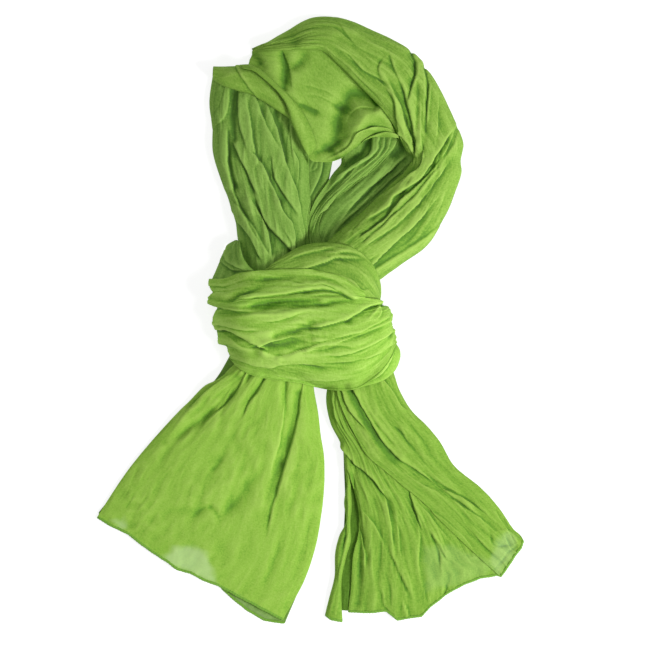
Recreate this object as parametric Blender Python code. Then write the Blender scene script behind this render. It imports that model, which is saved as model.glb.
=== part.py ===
"""Cotton voile scarf laid flat: a loop at the top, a wound knot under it and two spread tails.

Each stretch of cloth that shows is one thin wall, lofted through a table of cross sections and pleated by
a table of folds. Both tables are in squares of the scarf's plan (x to the right, y down the plan), and all
heights and widths are in millimetres. The turns of cloth hidden inside share plain rounded solids.
"""
import bpy
import bmesh
import numpy as np

SQUARE = 1.1                  # one plan square, mm
PLAN_X, PLAN_Y = 309.85, 319.65   # the plan point over the origin
WALL = 2.0                    # thickness of a cloth wall, mm
CLEAR = 0.3                   # air between two pieces, mm
FLOOR = 0.05                  # lowest point of a wall, mm
EDGE = 2.4                    # height of the cloth's upper side at a round end, mm
HEM = 3.6                     # width of a rolled hem, mm
HEM_SEAM = 0.5                # air between a wall and its hem, seen from above, mm
HEM_HIGH = 1.9                # least height of a hem's upper side, mm
HEM_POINTS = 25               # points along a hem
HEM_RINGS = ((HEM - HEM_SEAM, -0.3, 1.5), (HEM * 0.55, 0.25, 2.0), (0.0, -0.5, 1.3))   # in from the edge, over it, thick, mm
END_BLEND = 0.25              # share of a stretch over which its end curve dies away
STEP = 0.004                  # step for the slopes of the smooth form
EASE = 1.3                    # steepest change in how far a wall is lifted over what is under it
UPRIGHT = (0.4, 0.4, 1.0)      # share of a surface's slope that a fold follows
EDGE_BAND = 6.0               # width along a round edge in which folds die away, mm
NARROW_BAND = 0.3             # its greatest share of a narrow stretch
NARROW_WALL = 0.16            # greatest share of a narrow stretch that the inner side moves in by
CREST = 1.9                   # from a fold's line to its crest and to its trough, mm
TIGHT = 1.3                   # least distance between two columns of points, mm
WIDE = 15.0                   # most distance between two columns, mm
MAIN_FOLD = 4.5               # a fold with less height and depth than this together is left to the sewing, mm
FADE, FALL = 5.0, 1.3         # fading of a fold past its ends, mm; how its sides fall off
CELL = 0.5                    # cell of the height map that keeps the pieces apart, mm
MAP_X, MAP_Y = 250.0, 350.0   # half sizes of that map, mm

# Sections of each stretch, one a row: left edge x, y, right edge x, y, bow of the line between them (plan
# squares), height of the left edge, height of the right edge, rise of the crown over them (mm).
# Folds, one a row: four plan points of the fold's line, the side that lies on top (1 left of the way it runs,
# -1 right of it, 0 for a plain ridge or trough), height of the crest, depth of the trough, reach (mm), and
# how much of it is left at its start and its end.
PIECES = {
    "tail_right_deep": dict(
        arch="both", power=4.0, rows=8, colour=(0.10, 0.26, 0.04),
        sections=[(343, 440, 372, 440, 0, 2.4, 2.4, 3), (344, 470, 372, 470, 0, 2.4, 2.4, 2),
                  (345, 500, 374, 505, 0, 2.4, 2.4, 1), (343, 540, 372, 540, 0, 2.4, 2.4, 1),
                  (337, 575, 366, 575, 0, 2.4, 2.4, 1), (337, 611, 362, 612, 0, 2.4, 2.4, 1)],
        folds=[]),
    "tail_right_edge": dict(
        arch="both", power=2.6, rows=11, hem=True, colour=(0.27, 0.50, 0.09),
        sections=[(343, 436, 352, 438, 0, 2.2, 3, 8), (343.8, 452, 350, 455, 0, 2.2, 3, 9),
                  (345.2, 470, 351, 474, 0, 2.2, 3, 9), (346, 485, 351, 488, 0, 2.2, 3, 9),
                  (343.8, 503, 352, 506, 0, 2.2, 3, 9), (345.6, 525, 350, 526, 0, 2.2, 3, 9),
                  (338.5, 539, 345, 543, 0, 2.2, 3, 8), (335, 555, 341, 558, 0, 2.2, 3, 8),
                  (334.2, 578, 340.5, 578, 0, 2.2, 3, 7), (329.5, 598, 342, 596, 0, 2.2, 3, 6),
                  (325.5, 615, 343, 620, 0, 2.2, 3, 4)],
        ends={1: [(325, 615), (330.6, 619.5), (342.5, 621.5)]},
        folds=[]),
    "tail_right_back": dict(
        arch="both", power=3.2, rows=15, hem=True, colour=(0.30, 0.52, 0.10),
        sections=[(327.5, 382, 362, 384, 0, 2.4, 4, 20), (326, 402, 366, 410, 0, 2.4, 4, 17),
                  (330.6, 424, 380, 436, 0, 2.4, 4, 13), (342, 447, 400, 460, 0, 4.4, 4, 10),
                  (348, 478, 424, 484, 0, 6, 4, 8), (354, 506, 446, 508, 0, 6.5, 4, 6),
                  (355, 532, 466, 530, -4, 6.5, 3, 6), (350, 560, 482, 552, -9, 6, 3, 6),
                  (345, 588, 491, 566, -15, 5, 2.4, 6), (343.5, 612, 497, 577, -22, 3.4, 2.4, 4)],
        ends={1: [(343.5, 612), (373, 613), (380, 610), (392, 616), (398.5, 621), (421.5, 617), (422, 611),
                  (434, 603.5), (445, 596), (462.6, 587), (476, 582), (497, 577)]},
        folds=[((331, 388), (332, 400), (335, 414), (338, 426), 1, 2, 4, 3, 1, 0),
               ((343, 449), (356, 465), (372, 478), (385, 496), 1, 3.2, 4.5, 6, 1, 0.8),
               ((385, 496), (389, 514), (392, 533), (394, 550), -1, 2, 4, 5, 0.6, 0.5),
               ((390, 550), (395, 563), (402, 578), (411, 596), 1, 2, 4.5, 5, 0.3, 0.2),
               ((409, 489), (413, 503), (418, 518), (424, 536), 1, 2.5, 5, 5, 1, 0),
               ((359, 528), (362, 542), (365, 556), (365, 570), -1, 1.5, 3.5, 5, 0, 0),
               ((429, 531), (437, 541), (443, 552), (450, 564), 1, 1.5, 3, 5, 0, 0)]),
    "tail_right_front": dict(
        arch="both", power=2.8, rows=14, hem=True, colour=(0.36, 0.60, 0.12),
        sections=[(334.5, 380, 393, 370, 0, 12, 2.4, 18), (338, 400, 399, 391, 0, 11, 2.4, 16),
                  (345, 417, 411, 412, 0, 10, 2.4, 13), (354, 434, 426, 425, 0, 9, 2.4, 11),
                  (366, 455, 441, 443, 0, 8, 2.4, 9), (384, 470.5, 452, 463, 0, 8, 2.4, 8),
                  (402, 485.5, 463, 474, 0, 7.5, 2.4, 7), (420, 500, 481, 488, 0, 7, 2.4, 6),
                  (440, 520.5, 497, 505, 0, 6, 2.4, 5), (460, 540, 507, 519, 0, 5, 2.4, 4),
                  (482, 560.5, 514, 530, 0, 4, 2.4, 3), (500.5, 577.5, 521, 537, 0, 3.4, 2.4, 2)],
        ends={1: [(500.5, 577.5), (508, 567), (515.5, 555.5), (521.5, 547.5), (523.5, 541), (520, 535)]},
        folds=[((341, 388), (346, 404), (356, 419), (368, 433), 1, 2.5, 4, 4, 1, 0),
               ((352, 388), (369, 419), (384, 443), (400, 459), 1, 3, 7, 6, 1, 0.8),
               ((400, 459), (412, 467), (428, 477), (450, 491), 1, 2, 3.5, 6, 0.8, 0),
               ((384, 380), (394, 393), (400, 404), (409, 412), -1, 1.5, 3, 5, 1, 0.3),
               ((418, 470), (440, 487), (466, 500), (494, 521), -1, 1.2, 3.3, 6, 0, 0)]),
    "tail_left_back": dict(
        arch="both", power=5.0, rows=9, hem=True, colour=(0.26, 0.48, 0.08),
        sections=[(231, 353, 311, 372, 0, 2.4, 2.4, 5), (214.5, 380, 313, 396, 0, 2.4, 2.4, 3),
                  (190, 403, 318, 430, 0, 2.4, 2.4, 1.5), (160, 435, 321, 470, 0, 2.4, 2.4, 0.6),
                  (133, 466, 319, 515, 0, 2.4, 2.4, 0.3), (113, 495, 311, 560, 0, 2.4, 2.4, 0.2),
                  (99, 514, 286, 622, 0, 2.4, 2.4, 0.1)],
        ends={1: [(98, 513), (128, 530), (150, 546), (168, 553), (186, 552), (204, 560), (214, 577),
                  (223, 590.5), (245, 609), (264, 620.5), (285, 623.5)]},
        folds=[]),
    "tail_left_front": dict(
        arch="both", power=2.7, rows=14, hem=True, colour=(0.37, 0.60, 0.12),
        sections=[(243, 356, 312, 372, 0, 6, 2.6, 24), (222, 377, 314, 391, 0, 6, 2.6, 19),
                  (203, 388, 318, 413, 0, 2.6, 2.6, 17), (184, 406, 321, 437, 0, 2.6, 2.6, 14),
                  (164, 427, 324, 457, 0, 2.6, 2.6, 12), (147, 446, 324.5, 481, 0, 2.6, 2.6, 10),
                  (130, 467, 322, 511, 0, 2.6, 2.6, 9), (118, 484, 315, 546, 0, 2.6, 2.6, 8),
                  (107, 501, 303, 583, 0, 2.6, 2.6, 6), (96.5, 517.5, 284.5, 621, -2, 2.6, 2.6, 4)],
        ends={1: [(96.5, 517.5), (114, 527.5), (128, 534), (147, 549), (168, 562.5), (178, 570), (190, 573),
                  (204, 580.5), (218, 585.5), (248, 602), (262, 609), (283, 620.5)]},
        folds=[((303, 384), (299, 412), (291, 440), (281, 468), 1, 2.5, 5.5, 6, 1, 0.8),
               ((281, 468), (273, 490), (267, 507), (265, 532), 1, 2, 4, 6, 0.8, 0),
               ((283, 379), (285, 402), (284, 426), (274, 464), -1, 2, 5, 5, 1, 0),
               ((246, 373), (237, 391), (225, 405), (207, 420), 1, 2.5, 6, 7, 1, 0.5),
               ((207, 420), (191, 432), (174, 441), (158, 452), 0, -3.2, 1.5, 12, 0.5, 0),
               ((266, 378), (257, 393), (248, 405), (240, 424), 1, 1.8, 4, 6, 1, 0),
               ((225, 377), (212, 387), (198, 399), (184, 414), 1, 1.5, 3, 6, 1, 0),
               ((270, 458), (251, 482), (235, 502), (214, 524), 0, -3, 1.6, 8, 0, 0)]),
    "loop_centre": dict(
        arch="both", power=3.0, rows=8, colour=(0.22, 0.42, 0.07),
        sections=[(299, 148, 334, 155, 0, 3, 3, 9), (299, 165, 331.5, 167, 0, 3, 2.4, 9),
                  (299, 180, 328.5, 180, 0, 3, 2.4, 9), (299, 195, 321, 193, 0, 3, 2.4, 9),
                  (299, 212, 314, 206, 0, 3, 2.4, 9), (299, 226, 311, 219, 0, 3, 2.4, 8)],
        folds=[((323, 160), (320, 176), (314, 188), (309, 199), -1, 2, 3.5, 5, 1, 0.6)]),
    "loop_right_deep": dict(
        arch="both", power=3.0, rows=11, colour=(0.16, 0.33, 0.06),
        sections=[(384, 120, 414, 148, 0, 3, 3, 6), (383, 141, 420, 166, 0, 3, 3, 8),
                  (371, 158, 410, 184, 0, 3, 3, 10), (354, 173, 396, 200, 0, 3, 3, 11),
                  (337, 188, 381, 214, 0, 3, 3, 12), (322, 203, 366, 228, 0, 3, 3, 12),
                  (313, 219, 352, 240, 0, 3, 3, 13), (309, 238, 343, 254, 0, 3, 3, 14)],
        folds=[((404, 158), (388, 172), (371, 187), (352, 206), -1, 2, 4, 5, 0.5, 0.5),
               ((386, 170), (372, 184), (358, 199), (343, 218), -1, 2, 4, 5, 0.5, 0.5),
               ((360, 184), (347, 200), (336, 216), (324, 238), -1, 2, 4, 5, 0.5, 0.8)]),
    "loop_right_inner": dict(
        arch="both", power=2.6, rows=13, colour=(0.30, 0.52, 0.10),
        sections=[(340, 152, 399, 133, 0, 2.4, 5, 10), (340.5, 162, 397, 145, 0, 2.4, 7, 11),
                  (333.5, 172, 389, 156, 0, 2.4, 9, 11), (328, 181.5, 375, 170, 0, 2.4, 9, 11),
                  (320, 193, 355, 185, 0, 2.4, 9, 11), (314, 203, 337, 199, 0, 2.4, 9, 11),
                  (309.5, 214, 322, 213, 0, 2.4, 9, 9), (308.5, 223, 314, 226, 0, 2.4, 6, 7),
                  (309, 231, 317, 232, 0, 2.4, 5, 7), (310.5, 241, 322, 241, 0, 2.4, 5, 8)],
        folds=[((374, 140), (369, 152), (352, 163), (338, 176), 1, 2, 4.5, 5, 1, 0.7),
               ((383, 140), (379, 152), (364, 162), (345, 174), -1, 2, 4, 4, 1, 0.7),
               ((345, 174), (333, 185), (323, 196), (314, 209), -1, 1.5, 3.5, 4, 0.7, 0.6)]),
    "loop_inner": dict(
        arch="none", power=2.5, rows=13, colour=(0.38, 0.61, 0.13),
        sections=[(251, 49.5, 248, 66, 0, 3, 12, 0), (262, 46, 262, 82, 0, 12, 20, 0),
                  (280, 43, 280, 98, 0, 17, 26, 0), (300, 40, 295, 120, 0, 18, 26, 0),
                  (318, 42, 308, 156.5, 0, 18, 22, 0), (335, 50, 321, 162, 0, 18, 20, 0),
                  (352, 62, 338, 160, 0, 17, 20, 0), (366, 76, 354, 149.5, 0, 16, 22, 0),
                  (380, 90, 371, 139, 0, 14, 24, 0), (394, 106, 387, 137.5, 0, 13, 24, 0),
                  (404, 126, 398.5, 139, 0, 12, 20, 0)],
        folds=[((283, 46), (286, 60), (284, 74), (279, 90), 0, -4.5, 2, 7, 1, 0.3),
               ((352, 88), (341, 104), (335, 122), (330, 144), -1, 1.5, 6, 14, 0.3, 0.2),
               ((358, 118), (368, 109), (382, 108), (397, 135), -1, 3.5, 4, 8, 0, 0.6),
               ((338, 152), (352, 139), (370, 129), (394, 132), -1, 2, 3, 6, 0, 0.6)]),
    "loop_outer": dict(
        arch="both", power=2.5, rows=29, colour=(0.38, 0.62, 0.13),
        sections=[(251.5, 48, 253, 50.5, 0, 2.4, 8, 2), (268, 40.5, 267, 50, 0, 2.4, 17, 5),
                  (290, 28.5, 288, 51, 0, 2.4, 21, 9), (312, 18, 309, 50, 0, 2.4, 22, 11),
                  (333, 15.8, 323, 52, 0, 2.4, 22, 12), (353, 20.5, 336, 63, 0, 2.4, 22, 13),
                  (373, 29.5, 348, 75, 0, 2.4, 22, 14), (392, 38, 360, 87, 0, 2.4, 22, 15),
                  (411, 49.5, 372, 99, 0, 2.4, 21, 16), (426, 66, 384, 112, 0, 2.4, 20, 17),
                  (438, 84, 393, 125, 0, 2.4, 18, 19), (448, 104, 400, 139, 0, 2.4, 14, 21),
                  (457, 124, 406, 150, 0, 2.4, 12, 22), (464, 143, 411, 158, 0, 2.4, 11, 22),
                  (461.5, 160, 408, 166, 0, 2.4, 11, 22), (462, 173, 400, 175, 0, 2.4, 11, 22),
                  (456, 191, 390, 184, 0, 2.4, 11, 23), (448, 211, 377, 197, 0, 2.4, 11, 24),
                  (438, 229.5, 365, 209, 0, 2.4, 12, 25), (424, 248, 352, 220, 0, 2.4, 13, 26),
                  (403, 263, 340, 230, 0, 2.4, 14, 27), (383, 277.5, 329, 240, 0, 2.4, 14, 28),
                  (368, 288, 320, 250, 0, 2.4, 14, 28)],
        folds=[((334, 46), (350, 56), (362, 69), (381, 80), 1, 1.5, 3.2, 6, 0, 1),
               ((381, 80), (389, 91), (395, 105), (400, 124), 1, 2, 3.5, 5, 1, 0.6),
               ((379, 69), (384, 82), (392, 94), (400, 106), -1, 2, 4, 5, 0.2, 1),
               ((400, 106), (404, 122), (408, 140), (411, 157), -1, 2, 4.5, 5, 1, 0.6),
               ((392, 50), (394, 62), (398, 75), (404, 90), 1, 1.5, 3.2, 6, 0, 1),
               ((404, 90), (409, 108), (413, 128), (415, 150), 1, 2.5, 6.5, 6, 1, 0.6),
               ((413, 50), (416, 62), (415, 78), (412, 96), 1, 2, 4.5, 6, 0.6, 0.5),
               ((428, 68), (430, 84), (429, 102), (426, 124), 1, 2.5, 6, 5, 1, 0.5),
               ((452, 112), (449, 128), (443, 143), (435, 158), -1, 2, 6, 6, 0, 1),
               ((435, 158), (430, 170), (421, 181), (408, 188), -1, 3, 5, 6, 1, 1),
               ((408, 188), (394, 199), (382, 213), (362, 232), -1, 3, 5, 6, 1, 1),
               ((452, 152), (440, 172), (427, 186), (415, 197), -1, 2.2, 5, 5, 0.3, 1),
               ((415, 197), (402, 210), (388, 222), (368, 237), -1, 2, 4, 5, 1, 1),
               ((438, 184), (424, 201), (404, 217), (380, 237), 1, 2.5, 3, 9, 0.2, 1),
               ((450, 204), (432, 217), (408, 231), (382, 249), -1, 2.5, 4.5, 9, 0.3, 1),
               ((444, 222), (426, 238), (402, 253), (378, 268), 1, 2, 3, 8, 0.3, 1)]),
    "loop_left": dict(
        arch="both", power=2.5, rows=15, colour=(0.30, 0.52, 0.11),
        sections=[(214, 71, 308, 148, 18, 2.4, 8, 16), (209.5, 101, 309, 158, 9, 2.4, 8, 22),
                  (212, 128, 309.3, 175, 4, 2.4, 8, 24), (212.5, 152, 310, 192, 2, 2.4, 8, 24),
                  (219.5, 176, 310.5, 206, 0, 2.4, 8, 24), (228.5, 200, 308.5, 220, 0, 2.4, 8, 25),
                  (234, 222, 309, 233, 0, 2.4, 8, 27), (238.5, 245, 309, 246, 0, 2.4, 8, 29),
                  (246, 276, 305, 270, 0, 2.4, 8, 30)],
        folds=[((229, 90), (229, 132), (227, 166), (234, 197), -1, 3, 6, 8, 1, 0.9),
               ((234, 197), (242, 213), (251, 230), (258, 252), -1, 2.5, 4, 5, 0.9, 0.6),
               ((230, 126), (236, 154), (247, 173), (254, 196), 1, 2.5, 3, 6, 0.2, 1),
               ((249, 96), (252, 114), (252, 134), (257, 158), -1, 2.2, 4.5, 6, 0.8, 0.7),
               ((257, 158), (264, 174), (272, 192), (280, 212), 1, 1.8, 3, 5, 0.7, 0),
               ((258, 97), (265, 113), (269, 130), (275, 160), 1, 2, 4, 6, 1, 0.4),
               ((275, 108), (281, 134), (287, 160), (292, 182), -1, 2.8, 5, 7, 0.8, 0.8),
               ((292, 182), (295, 198), (299, 215), (302, 240), -1, 1.5, 3.4, 4, 0.8, 0.7),
               ((288, 120), (294, 146), (300, 168), (301, 198), 1, 2.4, 3.5, 5, 0.6, 0.3),
               ((272, 168), (276, 190), (284, 208), (294, 230), -1, 2.2, 4.5, 5, 0.3, 0.9),
               ((234, 212), (243, 225), (251, 239), (256, 260), 1, 2, 5.5, 8, 0.4, 1),
               ((252, 194), (261, 212), (267, 229), (271, 256), -1, 2.6, 6, 8, 0.4, 1)]),
    "loop_left_fold": dict(
        arch="both", power=3.0, rows=11, colour=(0.38, 0.61, 0.13),
        sections=[(214, 67, 213, 79, 0, 2.4, 8, 16), (226, 66.8, 223, 86, 0, 4, 14, 17),
                  (238, 66, 236, 90.5, 0, 10, 20, 14), (250, 66, 252, 95.5, 0, 18, 26, 9),
                  (265, 75, 266, 103.5, 0, 24, 29, 6), (278, 88, 279, 112, 0, 26, 30, 5),
                  (289, 103, 290, 119.5, 0, 26, 30, 4), (295, 113, 294, 124, 0, 26, 29, 3)],
        folds=[((236, 67), (243, 79), (250, 89), (258, 98), 1, 2, 3, 6, 1, 0.4)]),
    "loop_left_hem": dict(
        arch="both", power=3.0, rows=13, colour=(0.40, 0.63, 0.14),
        sections=[(240, 64.5, 243, 69, 0, 18, 24, 6), (252, 65, 253, 71.5, 0, 22, 30, 6),
                  (265, 73, 264, 80, 0, 26, 34, 6), (277, 84, 276, 91, 0, 28, 36, 6),
                  (287, 93, 284, 101, 0, 29, 36, 6), (297, 104, 288, 110, 0, 29, 36, 6),
                  (306, 117, 291, 122, 0, 28, 35, 6), (313, 132, 297, 135.5, 0, 26, 34, 6),
                  (316.3, 145, 302.5, 147.5, 0, 24, 32, 5), (311.5, 154, 308, 156.5, 0, 22, 28, 3)],
        folds=[]),
    "knot_left": dict(
        arch="both", power=2.4, rows=8, colour=(0.24, 0.44, 0.07),
        sections=[(235, 239.5, 239, 240.5, 0, 2.4, 16, 4), (227.5, 244.5, 241, 249, 0, 2.4, 26, 9),
                  (221.8, 252.5, 244, 258.5, 0, 2.4, 32, 10), (218.8, 261, 250, 267, 0, 2.4, 36, 10),
                  (216, 269, 258, 273, 0, 2.4, 38, 10), (212.5, 277, 258, 280, 0, 2.4, 38, 10),
                  (210, 283, 250, 287, 0, 2.4, 36, 10)],
        folds=[((226, 246), (225, 254), (229, 262), (240, 268), 1, 2, 3.5, 5, 0.3, 0.8)]),
    "knot_right": dict(
        arch="both", power=2.4, rows=14, colour=(0.40, 0.63, 0.15),
        sections=[(265, 269.5, 267, 275, 0, 36, 38, 2), (284, 255.6, 288, 277, 0, 36, 38, 6),
                  (303, 245.7, 308, 278, 0, 34, 40, 10), (325, 242.3, 326, 281, 0, 33, 42, 11),
                  (345, 245, 340, 285, 0, 30, 43, 12), (357, 250.5, 350, 290, 0, 26, 43, 13),
                  (368, 259, 358, 295, 0, 20, 42, 14), (376, 270, 364, 300, 0, 12, 38, 15),
                  (380.5, 282, 371, 303, 0, 5, 30, 14), (381.5, 292, 377, 305, 0, 2.4, 18, 9),
                  (380.5, 300, 379.5, 306, 0, 2.4, 8, 3)],
        folds=[((308, 268), (323, 263), (339, 258.5), (358, 258.5), 1, 2, 3.5, 6, 0.6, 0.4),
               ((330, 254), (345, 252), (357, 254), (368, 261), 1, 1.5, 3, 5, 0.2, 0.2)]),
    "knot_end": dict(
        arch="both", power=2.2, rows=8, colour=(0.42, 0.66, 0.17),
        sections=[(350, 378, 350, 389.5, 0, 14, 2.4, 6), (366, 374, 368, 386, 0, 20, 2.4, 11),
                  (378, 363, 383.5, 380.5, 0, 24, 2.4, 14), (384, 352, 394.5, 371.5, 0, 24, 2.4, 14),
                  (386, 344, 400, 360, 0, 22, 2.4, 13), (386, 338, 400.5, 351, 0, 18, 2.4, 9),
                  (385, 332, 397, 343, 0, 14, 2.4, 5)],
        folds=[]),
    "knot_lower": dict(
        arch="right", power=2.3, rows=16, starts_round=0.22, ends_round=0.24, colour=(0.41, 0.65, 0.16),
        sections=[(208, 297, 236, 367.5, -9, 36, 2.4, 20), (225, 292.5, 252, 375.5, -5, 44, 2.4, 22),
                  (250, 290.5, 273, 380, -2, 50, 2.4, 23), (280, 290, 300, 384, 0, 53, 2.4, 24),
                  (310, 290, 325, 389.3, 0, 54, 2.4, 24), (335, 292, 345, 390.3, 0, 53, 2.4, 24),
                  (352, 297, 361, 387, 0, 50, 2.4, 24), (366, 298, 379, 374, 2, 44, 2.4, 24),
                  (377, 299.5, 391, 358, 4, 40, 2.4, 20), (382, 301.5, 396.5, 343.5, 5, 34, 2.4, 14)],
        ends={0: [(207, 297), (206.5, 303.5), (216, 307.5), (212.3, 317), (212, 322.5), (218.4, 344),
                  (226, 348), (227.2, 360), (236, 367.5)],
              1: [(382, 301.5), (390.3, 308.4), (393.6, 315), (394.3, 322), (396.6, 331), (396.8, 343.5)]},
        folds=[((214, 306), (226, 309), (242, 311), (264, 310), 1, 1.5, 3, 5, 1, 0),
               ((244, 306), (266, 304), (290, 302), (322, 300), 0, -4.5, 3, 7, 0, 0),
               ((379, 303), (364, 309), (346, 318), (322, 325), -1, 1.8, 3.6, 6, 1, 0.2),
               ((218, 324), (232, 327), (247, 330), (264, 331), 1, 1.6, 3, 5, 0.8, 0),
               ((222, 329), (237, 336), (248, 344), (260, 351), 1, 3.5, 6, 8, 0.6, 0.7),
               ((258, 351), (268, 353), (279, 357), (294, 352), -1, 2.5, 6, 11, 0.7, 0.2),
               ((285, 345), (304, 341), (322, 334), (344, 329), 0, -5, 3, 9, 0.3, 0),
               ((244, 361), (264, 366.5), (288, 368), (322, 368.5), -1, 1.5, 3.2, 5, 0.3, 0.2),
               ((325, 346), (348, 340), (370, 330), (394, 319), -1, 1.5, 3.2, 6, 0, 1)]),
    "knot_upper": dict(
        arch="left", power=2.3, rows=14, starts_round=0.2, colour=(0.41, 0.65, 0.16),
        sections=[(208.4, 278.6, 207, 301, 3, 2.4, 36, 5), (223, 278.3, 228, 301, 0, 14, 48, 8),
                  (240, 272.7, 250, 299, 0, 32, 54, 6), (262, 270.3, 275, 298.5, 0, 42, 57, 4),
                  (285, 269.2, 300, 298, 0, 42, 59, 4), (305, 269, 322, 298, 0, 44, 59, 4),
                  (325, 271, 338, 298.3, 0, 46, 58, 4), (342, 275.6, 349.5, 298.4, 0, 47, 55, 4),
                  (354, 283.5, 357, 298.6, 0, 46, 52, 3), (365.5, 291, 365, 298.8, 0, 42, 47, 2)],
        ends={0: [(208.4, 278.6), (208, 286), (211.8, 292.5), (207.6, 296), (206.6, 302)]},
        folds=[((232, 293), (245, 289), (258, 287), (274, 285), 0, -4.6, 3, 6, 0.2, 0),
               ((270, 296), (288, 291), (308, 288.5), (330, 288.5), 1, 1.5, 3.5, 5, 0, 1),
               ((330, 288.5), (341, 290), (348, 294), (356, 299), 1, 2, 5, 5, 1, 0.6)]),
}

# Rounded solids of the cloth wound up inside: centre x, y, half length, half width (plan squares), turn of
# its long way (degrees, against the clock), height (mm).
CORES = {
    "core_left": (266, 176, 74, 30, -69, 19),
    "core_right": (411, 221, 44, 22, 43, 27.5),
    "core_knot": (303, 331, 76, 38, 0, 58),
    "core_tail_left": (271, 396, 26, 18, 20, 14),
}
CORE_RINGS, CORE_SIDES = 5, 20

SURFACES = {name: piece["colour"] for name, piece in PIECES.items()}


def to_mm(points):
    """Plan points as X and Y in mm, with Y up the plan."""
    points = np.asarray(points, float)
    return np.stack([(points[..., 0] - PLAN_X) * SQUARE, (PLAN_Y - points[..., 1]) * SQUARE], -1)


def along(rows, t):
    """A smooth curve through the rows, at t from 0 to 1."""
    rows = np.asarray(rows, float)
    last = len(rows) - 1
    place = np.clip(t, 0, 1) * last
    i = np.minimum(place.astype(int), last - 1)
    f = (place - i)[..., None]
    padded = np.vstack([2 * rows[0] - rows[1], rows, 2 * rows[-1] - rows[-2]])
    a, b, c, d = padded[i], padded[i + 1], padded[i + 2], padded[i + 3]
    return b + 0.5 * f * (c - a + f * (2 * a - 5 * b + 4 * c - d + f * (3 * (b - c) + d - a)))


def by_length(points, t):
    """A line through the points, at t of its length."""
    points = np.asarray(points, float)
    steps = np.hypot(*np.diff(points, axis=0).T)
    at = np.concatenate([[0], np.cumsum(steps)]) / steps.sum()
    return np.stack([np.interp(t, at, points[:, k]) for k in (0, 1)], -1)


def smooth(x):
    x = np.clip(x, 0, 1)
    return x * x * (3 - 2 * x)


def form(piece, s, v):
    """Points of a stretch without its folds: s from its left to its right edge, v along it."""
    row = along(piece["sections"], v)
    left, right = to_mm(row[..., 0:2]), to_mm(row[..., 2:4])
    chord = right - left
    across = np.stack([-chord[..., 1], chord[..., 0]], -1)
    across /= np.hypot(chord[..., 0], chord[..., 1])[..., None]
    bow = row[..., 4] * SQUARE * 4 * s * (1 - s)
    plan = left + chord * s[..., None] + across * bow[..., None]
    for end, points in piece.get("ends", {}).items():
        edge = to_mm(by_length(points, s))
        row = along(piece["sections"], np.full_like(v, float(end)))
        a, b = to_mm(row[..., 0:2]), to_mm(row[..., 2:4])
        side = np.stack([a[..., 1] - b[..., 1], b[..., 0] - a[..., 0]], -1)
        side /= np.hypot(side[..., 0], side[..., 1])[..., None]
        there = a + (b - a) * s[..., None] + side * (row[..., 4] * SQUARE * 4 * s * (1 - s))[..., None]
        near = smooth(1 - np.abs(v - end) / END_BLEND)
        plan = plan + (edge - there) * near[..., None]
    row = along(piece["sections"], v)
    kind, power = piece["arch"], piece["power"]
    off = {"both": np.abs(2 * s - 1), "left": 1 - s, "right": s, "none": np.ones_like(s)}[kind]
    arch = np.sqrt(np.clip(1 - off ** power, 0, 1))
    low_left, low_right, crown = row[..., 5], row[..., 6], row[..., 7]
    if kind == "right":
        height = low_right + (low_left - low_right) * arch + crown * arch * s
    else:
        height = low_left + (low_right - low_left) * s + crown * arch
    for size, place in ((piece.get("starts_round"), v), (piece.get("ends_round"), 1 - v)):
        if size:
            out = np.clip(1 - place / size, 0, 1)
            height = EDGE + (height - EDGE) * np.sqrt(np.clip(1 - out ** 2.2, 0, 1))
    return np.concatenate([plan, height[..., None]], -1)


def frame_of(piece, s, v):
    """The smooth form and its upward normals."""
    points = form(piece, s, v)
    ds = form(piece, np.clip(s + STEP, 0, 1), v) - form(piece, np.clip(s - STEP, 0, 1), v)
    dv = form(piece, s, np.clip(v + STEP, 0, 1)) - form(piece, s, np.clip(v - STEP, 0, 1))
    normal = np.cross(ds, dv)
    normal /= np.maximum(np.linalg.norm(normal, axis=-1), 1e-9)[..., None]
    return points, np.where(normal[..., 2:] < 0, -normal, normal)


def inset(piece, s, v):
    """How far the inner side of a wall moves in from its round edges, and how much of a fold is left there."""
    corner = [form(piece, np.full_like(s, k), v)[..., :2] for k in (0, 1)]
    across = corner[1] - corner[0]
    width = np.hypot(across[..., 0], across[..., 1])[..., None]
    ends = [form(piece, s, np.clip(v + k * STEP, 0, 1))[..., :2] for k in (-1, 1)]
    way = ends[1] - ends[0]
    way /= np.hypot(way[..., 0], way[..., 1])[..., None]
    length = np.hypot(*np.diff(to_mm([np.add(r[0:2], r[2:4]) / 2 for r in piece["sections"]]), axis=0).T).sum()
    shift, rim = np.zeros_like(way), np.ones(s.shape)
    sides = {"both": (0, 1), "left": (0,), "right": (1,), "none": ()}[piece["arch"]]
    places = [(np.abs(s - k)[..., None] * width, across / width * (1 - 2 * k), width) for k in sides]
    if piece.get("starts_round"):
        places.append((v[..., None] * length, way, length))
    if piece.get("ends_round"):
        places.append(((1 - v)[..., None] * length, -way, length))
    for gap, inwards, size in places:
        deep = np.minimum(WALL, NARROW_WALL * size)
        band = np.minimum(EDGE_BAND, NARROW_BAND * size)
        shift += inwards * deep * np.clip(1 - gap / band, 0, 1)
        rim *= smooth(gap / band)[..., 0]
    return shift, rim


def fold_line(fold, count=19):
    return to_mm(along(fold[:4], np.linspace(0, 1, count)))


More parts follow.
